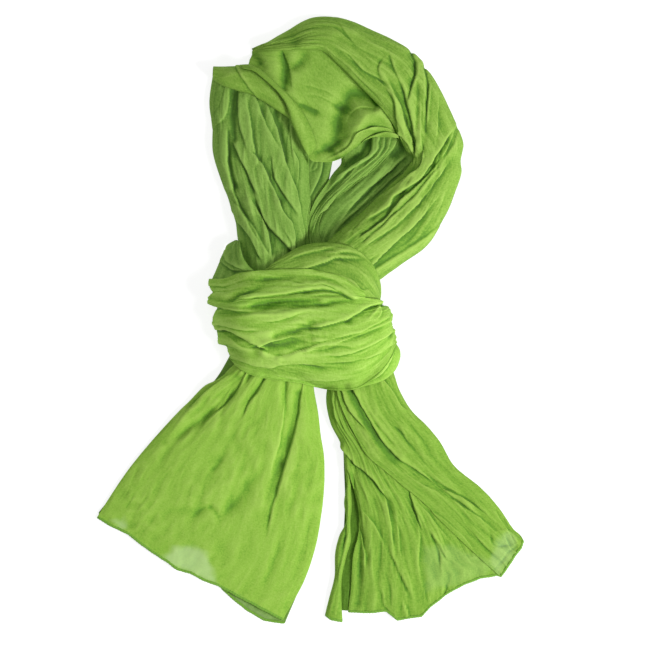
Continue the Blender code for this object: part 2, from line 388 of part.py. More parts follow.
def relief(folds, plan):
    """Height of the folds over the smooth form at the plan positions, mm."""
    total = np.zeros(plan.shape[:-1])
    for fold in folds:
        side, high, low, reach, first, last = fold[4:]
        line = fold_line(fold)
        a, step = line[:-1], np.diff(line, axis=0)
        size = np.hypot(step[:, 0], step[:, 1])
        rel = plan[..., None, :] - a
        raw = (rel * step).sum(-1) / size ** 2
        t = np.clip(raw, 0, 1)
        gap = rel - t[..., None] * step
        best = np.argmin(np.hypot(gap[..., 0], gap[..., 1]), -1)[..., None]
        raw = np.take_along_axis(raw, best, -1)[..., 0]
        t = np.take_along_axis(t, best, -1)[..., 0]
        best = best[..., 0]
        rel = np.take_along_axis(rel, best[..., None, None], -2)[..., 0, :]
        unit = step[best] / size[best][..., None]
        d = unit[..., 0] * rel[..., 1] - unit[..., 1] * rel[..., 0]
        beyond = np.abs(raw - t) * size[best]
        place = (best + t) / len(step)
        power = (first + (1 - first) * smooth(place / 0.3)) * (last + (1 - last) * smooth((1 - place) / 0.3))
        power = power * np.exp(-(beyond / FADE) ** 2)
        if side == 0:
            total += power * high * np.exp(-(d / reach) ** 2)
            continue
        d = d * side
        over = 0.5 * (1 + np.tanh(d))
        total += power * (over * high * np.exp(-(np.clip(d, 0, None) / reach) ** FALL)
                          - (1 - over) * low * np.exp(-(np.clip(-d, 0, None) / reach) ** FALL))
    return total


def joined(folds):
    """The lines of the folds, with a fold that goes on from another's end joined to it."""
    runs = []
    for fold in folds:
        for run in runs:
            if run[3] == fold[0] and bool(run[0]) == bool(fold[4]):
                run[2], run[3] = np.vstack([run[2], fold_line(fold)[1:]]), fold[3]
                break
        else:
            runs.append([fold[4], fold[7], fold_line(fold), fold[3]])
    return [run[:3] for run in runs]


def columns(piece, v, folds):
    """Positions across for each row v: the edges, both sides of every fold, and even spaces between."""
    grid_s, grid_v = np.meshgrid(np.linspace(0, 1, 61), np.linspace(0, 1, 61))
    near = form(piece, grid_s, grid_v)[..., :2].reshape(-1, 2)
    at_s, at_v = grid_s.ravel(), grid_v.ravel()
    width = np.array([np.hypot(*np.diff(to_mm([r[0:2], r[2:4]]), axis=0)[0]) for r in piece["sections"]])
    width = np.interp(v, np.linspace(0, 1, len(width)), width)
    edges = [0.0, 0.03, 0.12] if piece["arch"] in ("both", "left") else [0.0]
    edges += [0.88, 0.97, 1.0] if piece["arch"] in ("both", "right") else [1.0]
    lines = [np.full_like(v, e) for e in edges]
    for side, reach, points in joined(folds):
        best = [int(np.argmin(((near - p) ** 2).sum(-1))) for p in points]
        fs, fv = at_s[best], at_v[best]
        order = np.argsort(fv, kind="stable")
        s = np.interp(v, fv[order], fs[order])
        for part in ((-1, 1) if side else (-0.9 * reach / CREST, 0, 0.9 * reach / CREST)):
            lines.append(s + part * CREST / width)
    lines = sorted(lines, key=lambda a: a.mean())
    lines = np.sort(np.clip(lines, 0, 1), axis=0)
    full = [lines[0]]
    for a, b in zip(lines[:-1], lines[1:]):
        extra = int(np.mean((b - a) * width) // WIDE)
        full += [a + (b - a) * k / (extra + 1) for k in range(1, extra + 1)] + [b]
    full = np.array(full).T
    for row, w in zip(full, width):
        least = min(TIGHT / w, 0.7 / len(row))
        for k in range(1, len(row)):
            row[k] = max(row[k], row[k - 1] + least)
        row[-1] = 1
        for k in range(len(row) - 2, -1, -1):
            row[k] = min(row[k], row[k + 1] - least)
        row[0] = 0
    return full


class HeightMap:
    """Highest point so far over each cell of the floor."""

    def __init__(self):
        self.top = np.zeros((int(2 * MAP_Y / CELL), int(2 * MAP_X / CELL)))

    def cells(self, plan):
        i = np.clip(((plan[..., 1] + MAP_Y) / CELL).astype(int), 1, self.top.shape[0] - 2)
        j = np.clip(((plan[..., 0] + MAP_X) / CELL).astype(int), 1, self.top.shape[1] - 2)
        return i, j

    def samples(self, grid):
        """Points spread over every triangle of a grid, one set per square."""
        p00, p10, p01, p11 = grid[:-1, :-1], grid[1:, :-1], grid[:-1, 1:], grid[1:, 1:]
        counts = [int(np.hypot(*(q - p00)[..., :2].reshape(-1, 2).T).max() / CELL) + 2 for q in (p10, p01)]
        for a in np.linspace(0, 1, counts[0]):
            for b in np.linspace(0, 1, counts[1]):
                if a + b <= 1:
                    yield p00 + a * (p10 - p00) + b * (p01 - p00)
                else:
                    yield p11 + (1 - a) * (p01 - p11) + (1 - b) * (p10 - p11)

    def add(self, grid):
        for points in self.samples(grid):
            np.maximum.at(self.top, self.cells(points), points[..., 2])

    def lift(self, grid):
        """How far each point of a grid must rise to clear what is there."""
        spread = self.top.copy()
        for di in (-1, 0, 1):
            for dj in (-1, 0, 1):
                spread = np.maximum(spread, np.roll(self.top, (di, dj), (0, 1)))
        spread[spread > 0] += CLEAR
        need = np.zeros((grid.shape[0] - 1, grid.shape[1] - 1))
        for points in self.samples(grid):
            need = np.maximum(need, spread[self.cells(points)] - points[..., 2])
        rise = np.zeros(grid.shape[:2])
        for di in (0, 1):
            for dj in (0, 1):
                part = rise[di:di + need.shape[0], dj:dj + need.shape[1]]
                np.maximum(part, need, out=part)
        return rise


def eased(rise, plan):
    """The rise of each point, made at least as much as a slope from its neighbours' rise asks."""
    place, height = plan.reshape(-1, 2), rise.ravel()
    gap = np.hypot(*(place[:, None] - place[None]).transpose(2, 0, 1))
    return (height[None] - EASE * gap).max(1).reshape(rise.shape)


def closed_mesh(name, top, bottom):
    """One closed wall between two grids of points."""
    rows, cols = top.shape[:2]
    bm = bmesh.new()
    upper = [[bm.verts.new(p / 1000) for p in line] for line in top]
    lower = [[bm.verts.new(p / 1000) for p in line] for line in bottom]
    for i in range(rows - 1):
        for j in range(cols - 1):
            for grid, turn in ((upper, 1), (lower, -1)):
                a, b, c, d = grid[i][j], grid[i + 1][j], grid[i][j + 1], grid[i + 1][j + 1]
                bm.faces.new((a, b, c)[::turn])
                bm.faces.new((b, d, c)[::turn])
    rim = [(i, 0) for i in range(rows)] + [(rows - 1, j) for j in range(1, cols)]
    rim += [(i, cols - 1) for i in range(rows - 2, -1, -1)] + [(0, j) for j in range(cols - 2, 0, -1)]
    for (i, j), (k, m) in zip(rim, rim[1:] + rim[:1]):
        bm.faces.new((upper[i][j], lower[i][j], lower[k][m]))
        bm.faces.new((upper[i][j], lower[k][m], upper[k][m]))
    return finish_mesh(name, bm)


def finish_mesh(name, bm):
    bmesh.ops.recalc_face_normals(bm, faces=bm.faces)
    mesh = bpy.data.meshes.new(name)
    bm.to_mesh(mesh)
    bm.free()
    mesh.shade_smooth()
    mesh.set_sharp_from_angle(angle=1.0)
    obj = bpy.data.objects.new(name, mesh)
    bpy.context.collection.objects.link(obj)
    material = bpy.data.materials.new(name + "_cloth")
    material.use_nodes = True
    shader = material.node_tree.nodes["Principled BSDF"]
    shader.inputs["Base Color"].default_value = (*SURFACES.get(name, (0.30, 0.52, 0.10)), 1)
    shader.inputs["Roughness"].default_value = 0.85
    shader.inputs["Metallic"].default_value = 0.0
    mesh.materials.append(material)
    return obj


def add_core(name, heap):
    """A rounded solid with a flat underside, for the cloth wound up inside."""
    x, y, length, width, turn, height = CORES[name]
    turn = np.radians(turn)
    angles = np.linspace(0, 2 * np.pi, CORE_SIDES, endpoint=False)
    centre = to_mm([x, y])
    rings = []
    for k in range(CORE_RINGS):
        up = k / (CORE_RINGS - 0.55)
        size = np.sqrt(1 - up ** 2.4)
        a, b = np.cos(angles) * length * size * SQUARE, np.sin(angles) * width * size * SQUARE
        rings.append(np.stack([centre[0] + a * np.cos(turn) - b * np.sin(turn),
                               centre[1] + a * np.sin(turn) + b * np.cos(turn), np.full_like(a, up * height)], -1))
    bm = bmesh.new()
    loops = [[bm.verts.new(p / 1000) for p in ring] for ring in rings]
    for low, high in zip(loops[:-1], loops[1:]):
        for k in range(CORE_SIDES):
            bm.faces.new((low[k - 1], high[k - 1], low[k]))
            bm.faces.new((high[k - 1], high[k], low[k]))
    bm.faces.new(loops[0][::-1])
    bm.faces.new(loops[-1])
    finish_mesh(name, bm)
    middle = np.array([[*centre, rings[-1][0, 2]]] * CORE_SIDES)
    heap.add(np.array([*rings, middle])[:, list(range(CORE_SIDES)) + [0]])


def add_wall(name, piece, heap):
    """One stretch of cloth, laid over everything that is there already."""
    folds = [f for f in piece["folds"] if abs(f[5]) + f[6] >= MAIN_FOLD]
    v = np.linspace(0, 1, piece["rows"])
    if piece.get("starts_round"):
        v = np.sort(np.append(v, [0.012]))
    if piece.get("ends_round"):
        v = np.sort(np.append(v, [0.988]))
    s = columns(piece, v, folds)
    v = np.repeat(v[:, None], s.shape[1], 1)
    if piece.get("hem"):
        way = form(piece, s[-1:], v[-1:]) - form(piece, s[-2:-1], v[-2:-1])
        short = HEM / np.linalg.norm(way, axis=-1) * (v[-1] - v[-2])
        v[-1:] -= np.minimum(short, 0.6 * (v[-1] - v[-2]))
    points, normal = frame_of(piece, s, v)
    shift, rim = inset(piece, s, v)
    points = points + normal * UPRIGHT * (relief(folds, points[..., :2]) * rim)[..., None]
    points[..., 2] = np.maximum(points[..., 2], WALL + FLOOR)
    under = points.copy()
    under[..., :2] += shift
    under[..., 2] = np.maximum(under[..., 2] - WALL, FLOOR)
    rise = eased(np.maximum(heap.lift(under), heap.lift(points)), points[..., :2])
    points[..., 2] += rise
    under[..., 2] += rise
    heap.add(points)
    closed_mesh(name, points, under)
    if piece.get("hem"):
        add_hem(name, piece, points[-1], heap)


def add_hem(name, piece, edge, heap):
    """The rolled hem past the end of a stretch: a narrow band with rounded sides."""
    s = np.linspace(0, 1, HEM_POINTS)
    outer = form(piece, s, np.ones_like(s))
    inner = form(piece, s, np.full_like(s, 0.98))
    way = outer[:, :2] - inner[:, :2]
    way /= np.hypot(way[:, 0], way[:, 1])[:, None]
    height = by_place(edge, outer[:, :2])
    top = np.array([np.concatenate([outer[:, :2] - way * back, (height + over)[:, None]], -1)
                    for back, over, thick in HEM_RINGS])
    top[..., 2] = np.maximum(top[..., 2], HEM_HIGH)
    under = top.copy()
    under[..., 2] -= np.array([ring[2] for ring in HEM_RINGS])[:, None]
    under[..., 2] = np.maximum(under[..., 2], FLOOR)
    rise = np.maximum(heap.lift(under), heap.lift(top))
    top[..., 2] += rise
    under[..., 2] += rise
    heap.add(top)
    SURFACES[name + "_hem"] = tuple(0.8 * c for c in piece["colour"])
    closed_mesh(name + "_hem", top, under)


def by_place(edge, plan):
    """Height of the nearest points of an edge."""
    d = np.hypot(edge[None, :, 0] - plan[:, None, 0], edge[None, :, 1] - plan[:, None, 1])
    weight = 1 / (d + 0.5) ** 3
    return (weight * edge[None, :, 2]).sum(1) / weight.sum(1)


def main():
    for obj in list(bpy.data.objects):
        bpy.data.objects.remove(obj, do_unlink=True)
    heap = HeightMap()
    for name in CORES:
        add_core(name, heap)
    for name, piece in PIECES.items():
        add_wall(name, piece, heap)


main()
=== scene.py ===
"""The finished cloth of a cotton voile scarf that lies flat: a loop, a wound knot and two spread tails.

Every stretch of cloth that shows is one thin sheet on its solid's form. Sections give its run, folds its
pleats and creases, and a crinkle that follows the cloth its small wrinkles. The stretches are laid one over
the other with a height map of the floor, as the solids are. Plan tables are in squares of the scarf's plan
(x to the right, y down the plan); heights, widths and depths are in millimetres.
"""

import bpy
import numpy as np
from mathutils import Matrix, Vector


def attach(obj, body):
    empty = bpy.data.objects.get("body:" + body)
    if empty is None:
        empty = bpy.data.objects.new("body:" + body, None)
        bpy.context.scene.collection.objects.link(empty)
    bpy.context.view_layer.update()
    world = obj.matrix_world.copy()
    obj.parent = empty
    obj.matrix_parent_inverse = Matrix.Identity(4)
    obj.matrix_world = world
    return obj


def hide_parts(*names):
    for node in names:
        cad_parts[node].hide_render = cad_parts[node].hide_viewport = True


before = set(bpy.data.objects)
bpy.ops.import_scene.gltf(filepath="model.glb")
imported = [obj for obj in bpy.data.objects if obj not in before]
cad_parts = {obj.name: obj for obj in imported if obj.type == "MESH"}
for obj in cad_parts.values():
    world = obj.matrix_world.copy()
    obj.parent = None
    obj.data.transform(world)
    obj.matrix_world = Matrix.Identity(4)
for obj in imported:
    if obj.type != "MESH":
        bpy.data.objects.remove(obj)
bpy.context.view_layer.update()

SQUARE = 1.1  # one plan square, mm
PLAN_X, PLAN_Y = 309.85, 319.65  # the plan point over the origin
PLAN_SIDE = 650  # squares along a side of the plan, all of it in the camera's view
CLOTH = 0.5  # thickness of the voile with its nap, mm
AIR = 0.35  # air between two stretches, mm
FLOOR = 0.15  # lowest point of a sheet, mm
EDGE = 2.4  # height of the cloth's upper side at a round end, mm
END_BLEND = 0.25  # share of a stretch over which its end curve dies away
PROBES_ALONG, PROBES_ACROSS = 200, 80  # points at which a stretch is measured
GRAIN, EASE = 1.15, 0.8  # distance of a sheet's points, mm; how much closer they lie at its edges
MORE_ACROSS = 1.25  # points across a sheet to those that its width alone would ask for
RIM, RIM_CRINKLE = 4, 0.3  # width of a sheet's rim, mm; share of the crinkle left at its edge
FOLD_POINTS = 25  # points of a fold's line
FADE, FALL, RIDGE = 5.0, 1.3, 1.6  # fading of a fold past its ends, mm; powers of its sides, of a plain ridge
DYING = 0.3  # share of a fold's length over which its ends die away
WAVER, WAVER_RUN = 0.7, 13  # how far a fold's line wavers, and over what length, mm
UNEVEN, UNEVEN_RUN = 0.3, 19  # share by which a fold's height varies, and over what length, mm
LIP = 0.6  # half width of the steep side of a fold that lies over, mm
LEAN, LEAN_REACH = 0.22, 2.2  # how far a crest leans over, of its height; how wide that is, mm
CREST, TROUGH = 0.85, 0.65  # share of a fold's height and depth that the fine cloth keeps
PLEAT_EDGE = 0.14  # share of a narrow pleat that its steep side takes
CREASE, SWELL = 1.6, 9  # how far round a point its hollow and its crest are measured for the painted shade and light, mm
CREASE_SHADING, SWELL_SHADING, SWELL_LEAST = 0.5, 0.15, 0.22  # how strongly they paint shade into hollows and light onto crests; least of the second
SHEER_EDGE = 9  # softness of a sheer patch's edge, mm
SHEER_WAVER, SHEER_RUN = 2.5, 9  # how far it wavers, and over what length, mm
CELL = 1.0  # cell of the height map, mm
MAP_X, MAP_Y = 250.0, 350.0  # half sizes of that map, mm
HEM_ROUND, HEM_SINK = 1.6, 0.6  # radius of a rolled hem; how far its middle lies under the cloth, mm
HEM_STEP, HEM_TWIST = 0.8, 3.4  # distance of its rings of points; length of a turn of its twist, mm
HEM_SIDES, HEM_FLAT = 12, 0.85  # points round it; its height as a share of its width
CORE_SIZE, CORE_WAVES = 0.965, 9  # share of its solid that a roll of hidden turns fills; its soft ribs
CORE_TOP, CORE_ROUND = 0.9, 2.4  # share of its height that its rings reach; power of its round side
CORE_RINGS, CORE_SIDES, CORE_RIB = 30, 60, 0.012  # its rings and points round it; share that a rib stands out
TILE, NOISE_SEED = 256, 7  # points of the noise before it repeats; what its random draws start from
WARP, MOTTLE_RUN = (900, 320), (110, 22)  # threads and mottling a metre, across the cloth and along it
THREADS = 600  # scale of the weave's waves
CAMERA_UP, SCARF_UP = 6.0, 0.02  # heights of the camera and of what it shows at true size, m
SENSOR = 36  # side of the camera's sensor, mm
FLOOR_SIDE, FLOOR_TONE, FLOOR_GLOW = 6, 0.35, 0.78  # side of the pale surface, m; its grey; its own light
SKY = 0.42  # strength of the light from all round
LIGHTS = {  # place, m; power, W; side, m
    "key": ((1.7, -0.8, 1.6), 66, 0.7),
    "fill": ((-0.8, 0.9, 2.4), 8, 1.6),
}

# Lit and shaded copies of the voile's one green, one for each group of stretches: the darker ones are painted
# shade where a stretch lies deep or away from the light. For each, how much the tone varies at random, and
# its tones from painted shade in creases to painted light on crests (red, green, blue, 0 to 255).
LIT_AND_SHADED_TONES = {
    "bright": (0.2, (90, 132, 52), (120, 175, 54), (152, 199, 75), (182, 221, 104)),
    "loop": (0.2, (84, 124, 48), (100, 150, 48), (133, 176, 65), (166, 203, 93)),
    "shade": (0.2, (84, 118, 52), (92, 138, 50), (124, 166, 68), (154, 194, 92)),
    "deep": (0.2, (72, 106, 44), (84, 126, 46), (110, 150, 60), (142, 182, 84)),
    "pit_shade": (0.2, (56, 92, 20), (68, 108, 26), (86, 126, 34), (106, 152, 52)),
    "tail": (0.35, (96, 142, 48), (120, 174, 54), (148, 194, 70), (172, 210, 93)),
    "tail_right": (0.3, (80, 122, 42), (100, 152, 46), (130, 174, 60), (156, 194, 82)),
    "hem": (0.2, (84, 130, 50), (104, 156, 52), (120, 170, 62), (142, 190, 78)),
}
SEE_THROUGH_TONE = (196, 222, 160)  # painted see-through: tone of a single layer with the pale surface showing through it

# Patches that lie single over the pale surface, where the pale surface seen through is painted into the
# colour: how much of it they let through, and corners with the clock.
SHEER = [
    (0.8, [(164, 556), (174, 548), (190, 546), (205, 553), (216, 584), (190, 574), (166, 563)]),
    (0.7, [(114, 522), (122, 520), (126, 529), (119, 529)]),
    (0.4, [(498, 540), (508, 532), (517, 539), (513, 556), (498, 577), (490, 566)]),
    (0.16, [(424, 548), (452, 546), (492, 562), (500, 574), (474, 580), (446, 592), (428, 600)]),
    (0.35, [(216, 585), (240, 599), (262, 609), (285, 619), (289, 628), (262, 624), (232, 604)]),
]

# Rounded solids of the cloth wound up inside: centre x, y, half length, half width (plan squares), turn of
# its long way (degrees, against the clock), height (mm).
CORES = {
    "core_left": (266, 176, 74, 30, -69, 19),
    "core_right": (411, 221, 44, 22, 43, 27.5),
    "core_knot": (303, 331, 76, 38, 0, 58),
    "core_tail_left": (271, 396, 26, 18, 20, 14),
}

PIECES = {}  # the stretches of cloth by their names, filled in by stretch()


def table(text, columns):
    """Rows of numbers from a text."""
    return np.array(text.split(), float).reshape(-1, columns)


def stretch(name, sections, folds="", first_end="", last_end="", **facts):
    """Adds a stretch of cloth. What it doesn't state has its usual value."""
    usual = dict(cloth="bright", arch="both", folded=1, coarse=1, hem=False, round_ends=(0, 0))
    ends = {end: table(points, 2) for end, points in ((0, first_end), (1, last_end)) if points}
    PIECES[name] = {**usual, **facts, "sections": table(sections, 8), "folds": table(folds, 14), "ends": ends}


# The stretches, in the order in which they are laid.
# on: what it rests on. cloth: its lit or shaded copy of the voile's green in the table of tones, darker as
# painted shade where the stretch lies deep or away from the light. cut: its flat width and length (mm).
# crinkle: height of its wrinkles, their spacing across and along, height of its broad crumples (mm). folded:
# how strongly its folds stand out. coarse: how much wider its points are spaced, as little of it shows or it
# is nearly flat.
# arch, power: edges that its crown comes down to, and how square it is. round_ends: shares of it that come
# down round to each end. first_end, last_end: points x, y of an end's curve. hem: rolled on the last end.
# sections: left edge x, y, right edge x, y, bow of the line between them (plan squares), height of the
# left edge, height of the right edge, rise of the crown over them (mm).
# folds: four points x, y of the fold's line, the side that lies on top (1 left of the way it runs, -1 right
# of it, 0 for a plain ridge or trough), height of the crest, depth of the trough, reach (mm), and how many
# tenths of it are left at its start and its end.
# Its darkest copy of the green is painted shade, for the narrow gap between two raised layers where it lies.
stretch("tail_right_deep", on="core_knot", cloth="pit_shade", cut=(35, 190), crinkle=(0.8, 6, 50, 0.3), power=4,
        sections="""
343 440 372 440 0 2.4 2.4 3
344 470 372 470 0 2.4 2.4 2
345 500 374 505 0 2.4 2.4 1
343 540 372 540 0 2.4 2.4 1
338 575 366 575 0 2.4 2.4 1
339 611 362 612 0 2.4 2.4 1
""")
stretch("tail_right_edge", on="core_knot", cloth="tail_right", cut=(20, 205), crinkle=(0.6, 5, 50, 0.3),
        power=2.6, hem=True, last_end="325 615  330.6 619.5  342.5 621.5", sections="""
343 436 352 438 0 2.2 3 8
343.8 452 350 455 0 2.2 3 9
345.2 470 351 474 0 2.2 3 9
346 485 351 488 0 2.2 3 9
343.8 503 352 506 0 2.2 3 9
345.4 522 350.5 523 0 2.2 3 9
339 537 351 541 0 2.2 3 8
335 554 346.5 557 0 2.2 3 8
334.2 578 342 578 0 2.2 3 7
329.5 598 342 596 0 2.2 3 6
325.5 615 343 620 0 2.2 3 4
""", folds="""
345 470 347 490 347 515 346 540 1 0.8 1.6 3 3 10
346 540 343 555 339 572 338 592 1 0.8 1.6 3 10 3
348 512 349 530 344 550 341 572 1 0.5 1.2 1.6 5 3
""")
stretch("tail_right_back", on="tail_right_deep", cloth="tail_right", cut=(110, 265),
        crinkle=(1, 6, 60, 0.9), coarse=1.1, power=3.2, hem=True, last_end="""
348 612  370 612.5  386 611  397 620  403 619  422 616  430 607  443 597  450 592  463 585  480 578
497 575.5  502 577
""", sections="""
327.5 382 362 384 0 2.4 4 20
326 402 366 410 0 2.4 4 17
330.6 424 380 436 0 2.4 4 13
342 447 400 460 0 4.4 4 10
348 478 424 484 0 6 4 8
355 506 446 508 0 6.5 4 6
356.5 532 466 530 -4 6.5 3 6
352 560 482 552 -9 6 3 6
350.5 588 497 564 -15 5 2.4 6
348 612 502 577 -22 3.4 2.4 4
""", folds="""
331 388 332 400 335 414 338 426 1 2 4 3 10 0
349 476 355 510 359 545 358 604 0 -4 0 5 6 5
415 500 428 513 441 530 453 544 -1 0.8 2 4 3 2
375 500 381 530 380 560 376 590 0 -2 0 5 4 2
343 449 356 465 372 478 385 496 1 3.2 4.5 6 10 8
385 496 389 514 392 533 394 550 -1 2 4 5 6 5
390 550 395 563 402 578 411 596 1 1.3 2.6 5 3 2
409 489 413 503 418 518 424 536 1 1.8 3.4 6 7 0
359 528 362 542 365 556 365 570 -1 1.5 3.5 5 0 0
429 531 437 541 443 552 450 564 1 1.5 3 5 0 0
398 520 399 535 400 548 402 560 -1 1.3 2.6 3 3 2
430 532 436 543 440 555 441 575 1 1.2 2.2 4 2 2
360 508 372 522 380 535 386 550 -1 1.2 2.4 4 2 2
419 520 420 540 419 560 421 580 -1 1.2 2 4 2 2
380 588 383 598 384 606 388 610 1 1 1.8 3 2 8
402 595 404 603 407 610 409 616 -1 1 1.8 3 2 8
446 580 448 588 446 594 442 600 1 1 1.8 3 2 8
""")
stretch("tail_right_front", on="tail_right_back", cloth="tail_right", cut=(75, 265),
        crinkle=(1, 6, 50, 1.3), power=2.8, hem=True, last_end="""
500.5 577.5  508 567  515.5 555.5  521.5 547.5  523.5 541  520 535
""", sections="""
334.5 380 393 370 0 12 2.4 18
338 400 400.5 391 0 11 2.4 16
345 417 412.3 411 0 10 2.4 13
354 434 426 425 0 9 2.4 11
366 455 441 443 0 8 2.4 9
384 470.5 452 463 0 8 2.4 8
402 485.5 463 474 0 7.5 2.4 7
420 500 481 488 0 7 2.4 6
440 520.5 497 505 0 6 2.4 5
460 540 507 519 0 5 2.4 4
482 560.5 514 530 0 4 2.4 3
500.5 577.5 521 537 0 3.4 2.4 2
""", folds="""
341 388 346 404 356 419 368 433 1 2.5 4 4 10 0
352 388 369 419 384 443 400 459 1 2.4 4 6 10 8
350 392 364 419 378 441 394 458 0 -7 0 6 8 4
400 459 418 471 436 484 453 497 1 2 4 6 8 5
453 497 462 503 471 510 482 518 1 1.2 2.6 5 8 1
384 380 394 393 400 404 409 412 -1 1.5 3 5 10 3
418 470 440 487 466 500 494 521 -1 1.2 3.3 6 0 0
371 414 378 425 388 437 398 448 1 1.2 2.4 4 6 2
391 424 402 432 408 441 414 448 1 1.2 2.4 4 3 2
398 466 415 480 437 492 452 503 -1 0.9 1.8 4 2 2
425 472 445 486 470 500 492 520 1 0.9 1.6 5 2 3
440 492 460 505 480 518 494 530 -1 1 2 4 2 4
460 520 475 535 488 550 500 560 1 0.8 1.6 4 2 4
492 505 500 518 508 530 515 545 -1 0.8 1.4 3 2 3
491 535 493 543 499 547 507 546 0 -1.6 0 1.6 4 8
499 532 507 531 514 537 519 546 0 1.3 0 1.8 4 6
506 538 509 545 512 550 517 552 -1 0.8 2 2 6 8
497 568 503 561 508 554 514 549 0 -1.1 0 1.3 4 8
420 505 440 517 462 535 478 556 -1 0.9 1.8 4 2 3
""")
stretch("tail_left_back", on="core_tail_left", cloth="deep", cut=(190, 250), crinkle=(0.4, 12, 60, 0.5),
        coarse=2.2, power=5, hem=True, last_end="""
98 513  128 530  150 546  168 553  186 552  204 560  214 577  223 590.5  245 609  264 620.5  285 623.5
""", sections="""
231 353 311 372 0 2.4 2.4 5
214.5 380 313 396 0 2.4 2.4 3
190 403 318 430 0 2.4 2.4 1.5
160 435 321 470 0 2.4 2.4 0.6
133 466 319 515 0 2.4 2.4 0.3
113 495 311 560 0 2.4 2.4 0.2
99 514 286 622 0 2.4 2.4 0.1
""")
stretch("tail_left_front", on="tail_left_back", cloth="tail", cut=(200, 260), crinkle=(0.6, 11, 70, 1.2),
        coarse=1.24, power=2.7, hem=True, last_end="""
96.5 517.5  114 527.5  128 534  147 549  168 562.5  178 570  190 573  204 580.5  218 585.5  248 602
262 609  283 620.5
""", sections="""
243 356 312 372 0 6 2.6 24
220.5 376 314 391 0 6 2.6 19
201.8 387 318 413 0 2.6 2.6 17
184 406 321 437 0 2.6 2.6 14
164 427 324 457 0 2.6 2.6 12
147 446 324.5 481 0 2.6 2.6 10
130 467 322 511 0 2.6 2.6 9
118 484 316 546 0 2.6 2.6 8
107 501 304.5 583 0 2.6 2.6 6
96.5 517.5 284.5 621 -2 2.6 2.6 4
""", folds="""
303 384 299.5 412 293 440 285 466 1 1.4 2.6 8 10 9
285 466 278 490 271 513 267 537 1 1.2 2.4 8 9 2
298 394 291 428 281 460 267 496 0 -4 0 7 9 2
285 380 284 411 280 440 272 470 -1 1.2 2.2 5 10 2
237 378 222 398 201 419 166 444 0 -4.2 0 6 6 3
246 373 237 391 225 405 207 420 1 1.2 2 7 10 5
235 386 229 399 222 411 216 421 0 -2.4 0 4 3 2
250 374 246 382 240 389 232 398 0 -3 0 4.5 10 4
265 376 261 384 256 391 249 401 0 -2.4 0 3.5 10 3
284 378 284 390 283.5 402 282 416 0 -2.6 0 3 10 3
224 456 219 463 214 468 209 474 0 -2 0 4 3 3
190 520 197 513 203 509 209 508 0 -1.2 0 3.5 3 8
211 508 214 511 217 515 219 521 0 -1.4 0 3.5 7 3
266 378 257 393 248 405 240 424 1 1.2 2.4 6 10 0
225 377 212 387 198 399 184 414 1 1.5 3 6 10 0
270 458 251 482 235 502 214 524 0 -3 1.6 8 0 0
199 403 188 412 178 425 165 440 0 1.4 0 5 4 1
224 455 210 462 198 475 190 485 0 -1.5 0 8 2 2
204 500 196 510 170 512 158 525 0 -1.5 0 7 2 2
318 500 308 530 300 560 292 590 0 -1.2 0 6 2 2
283 530 276 555 268 575 262 595 0 -1.1 0 5 2 2
""")
stretch("loop_centre", on="core_left", cloth="deep", cut=(40, 80), crinkle=(0.6, 5, 50, 0.2), power=3,
        sections="""
299 148 334 155 0 3 3 9
299 165 331.5 167 0 3 2.4 9
299 180 329 180 0 3 2.4 9
299 195 326 193 0 3 2.4 9
299 212 320 206 0 3 2.4 9
299 228 316 221 0 3 2.4 8
""", folds="""
323 160 320 176 314 188 309 199 -1 2 3.5 5 10 6
314 160 313 164 312 167 311 170 -1 0.8 1.6 2 8 2
318 161 317 166 315 169 311 171 -1 0.8 1.6 2 8 2
""")
stretch("loop_right_deep", on="core_right", cloth="deep", cut=(65, 170), crinkle=(1, 6, 70, 0.3),
        folded=0.8, power=3, sections="""
384 120 414 148 0 3 3 6
383 141 420 166 0 3 3 8
371 158 410 184 0 3 3 10
354 173 396 200 0 3 3 11
337 188 381 214 0 3 3 12
322 203 366 228 0 3 3 12
313 219 352 240 0 3 3 13
309 238 343 254 0 3 3 14
306 252 337 266 0 3 3 16
""", folds="""
413 140 405 145 396 152 388 160 0 -6 0 9 10 3
404 158 388 172 371 187 352 206 -1 2 4 5 5 5
386 170 372 184 358 199 343 218 -1 2 4 5 5 5
380 214 368 222 356 229 344 236 0 -5 0 8 8 8
357 197 350 201 343 205 334 211 0 2 0 5 3 3
411 162 395 176 378 192 364 205 -1 1.5 3 4 4 4
402 158 388 172 370 186 352 200 -1 1.5 3 4 4 4
375 190 362 205 348 218 336 230 -1 1.5 3 4 4 4
""")
stretch("loop_right_inner", on="loop_right_deep", cloth="shade", cut=(40, 150), crinkle=(0.7, 5, 60, 0.2),
        folded=0.8, power=2.6, sections="""
340 146 400 126 0 2.4 5 8
340.5 162 397 145 0 2.4 7 11
333.5 172 389 156 0 2.4 9 11
328 181.5 375 170 0 2.4 9 11
320 193 355 185 0 2.4 9 11
314 203 337 199 0 2.4 9 11
309.5 214 324 213 0 2.4 9 9
306.5 223 319 226 0 2.4 6 7
305.5 233 319 234 0 2.4 5 7
306 243 322 243 0 2.4 5 8
307 252 322 252 0 2.4 5 8
""", folds="""
366 142 362 150 354 157 345 164 0 -5 0 5 10 6
372 139 370 153 357 162 340 174 1 2 4.5 5 10 7
379 139 377 150 366 160 347 172 -1 2 4 4 10 7
385 139 382.5 150 372 161 354 175 -1 1.5 3 3 8 5
391 139 388 149 378 161 360 176 -1 1.5 3 3 8 5
397 138 394 147 385 157 370 172 -1 1.6 4 3 8 5
361 178 348 185 337 196 326 208 -1 1.8 5 3 6 10
326 208 320 214 316 221 313 232 -1 1.8 5 3 10 4
345 174 333 185 323 196 314 209 -1 1.5 3.5 4 7 6
""")
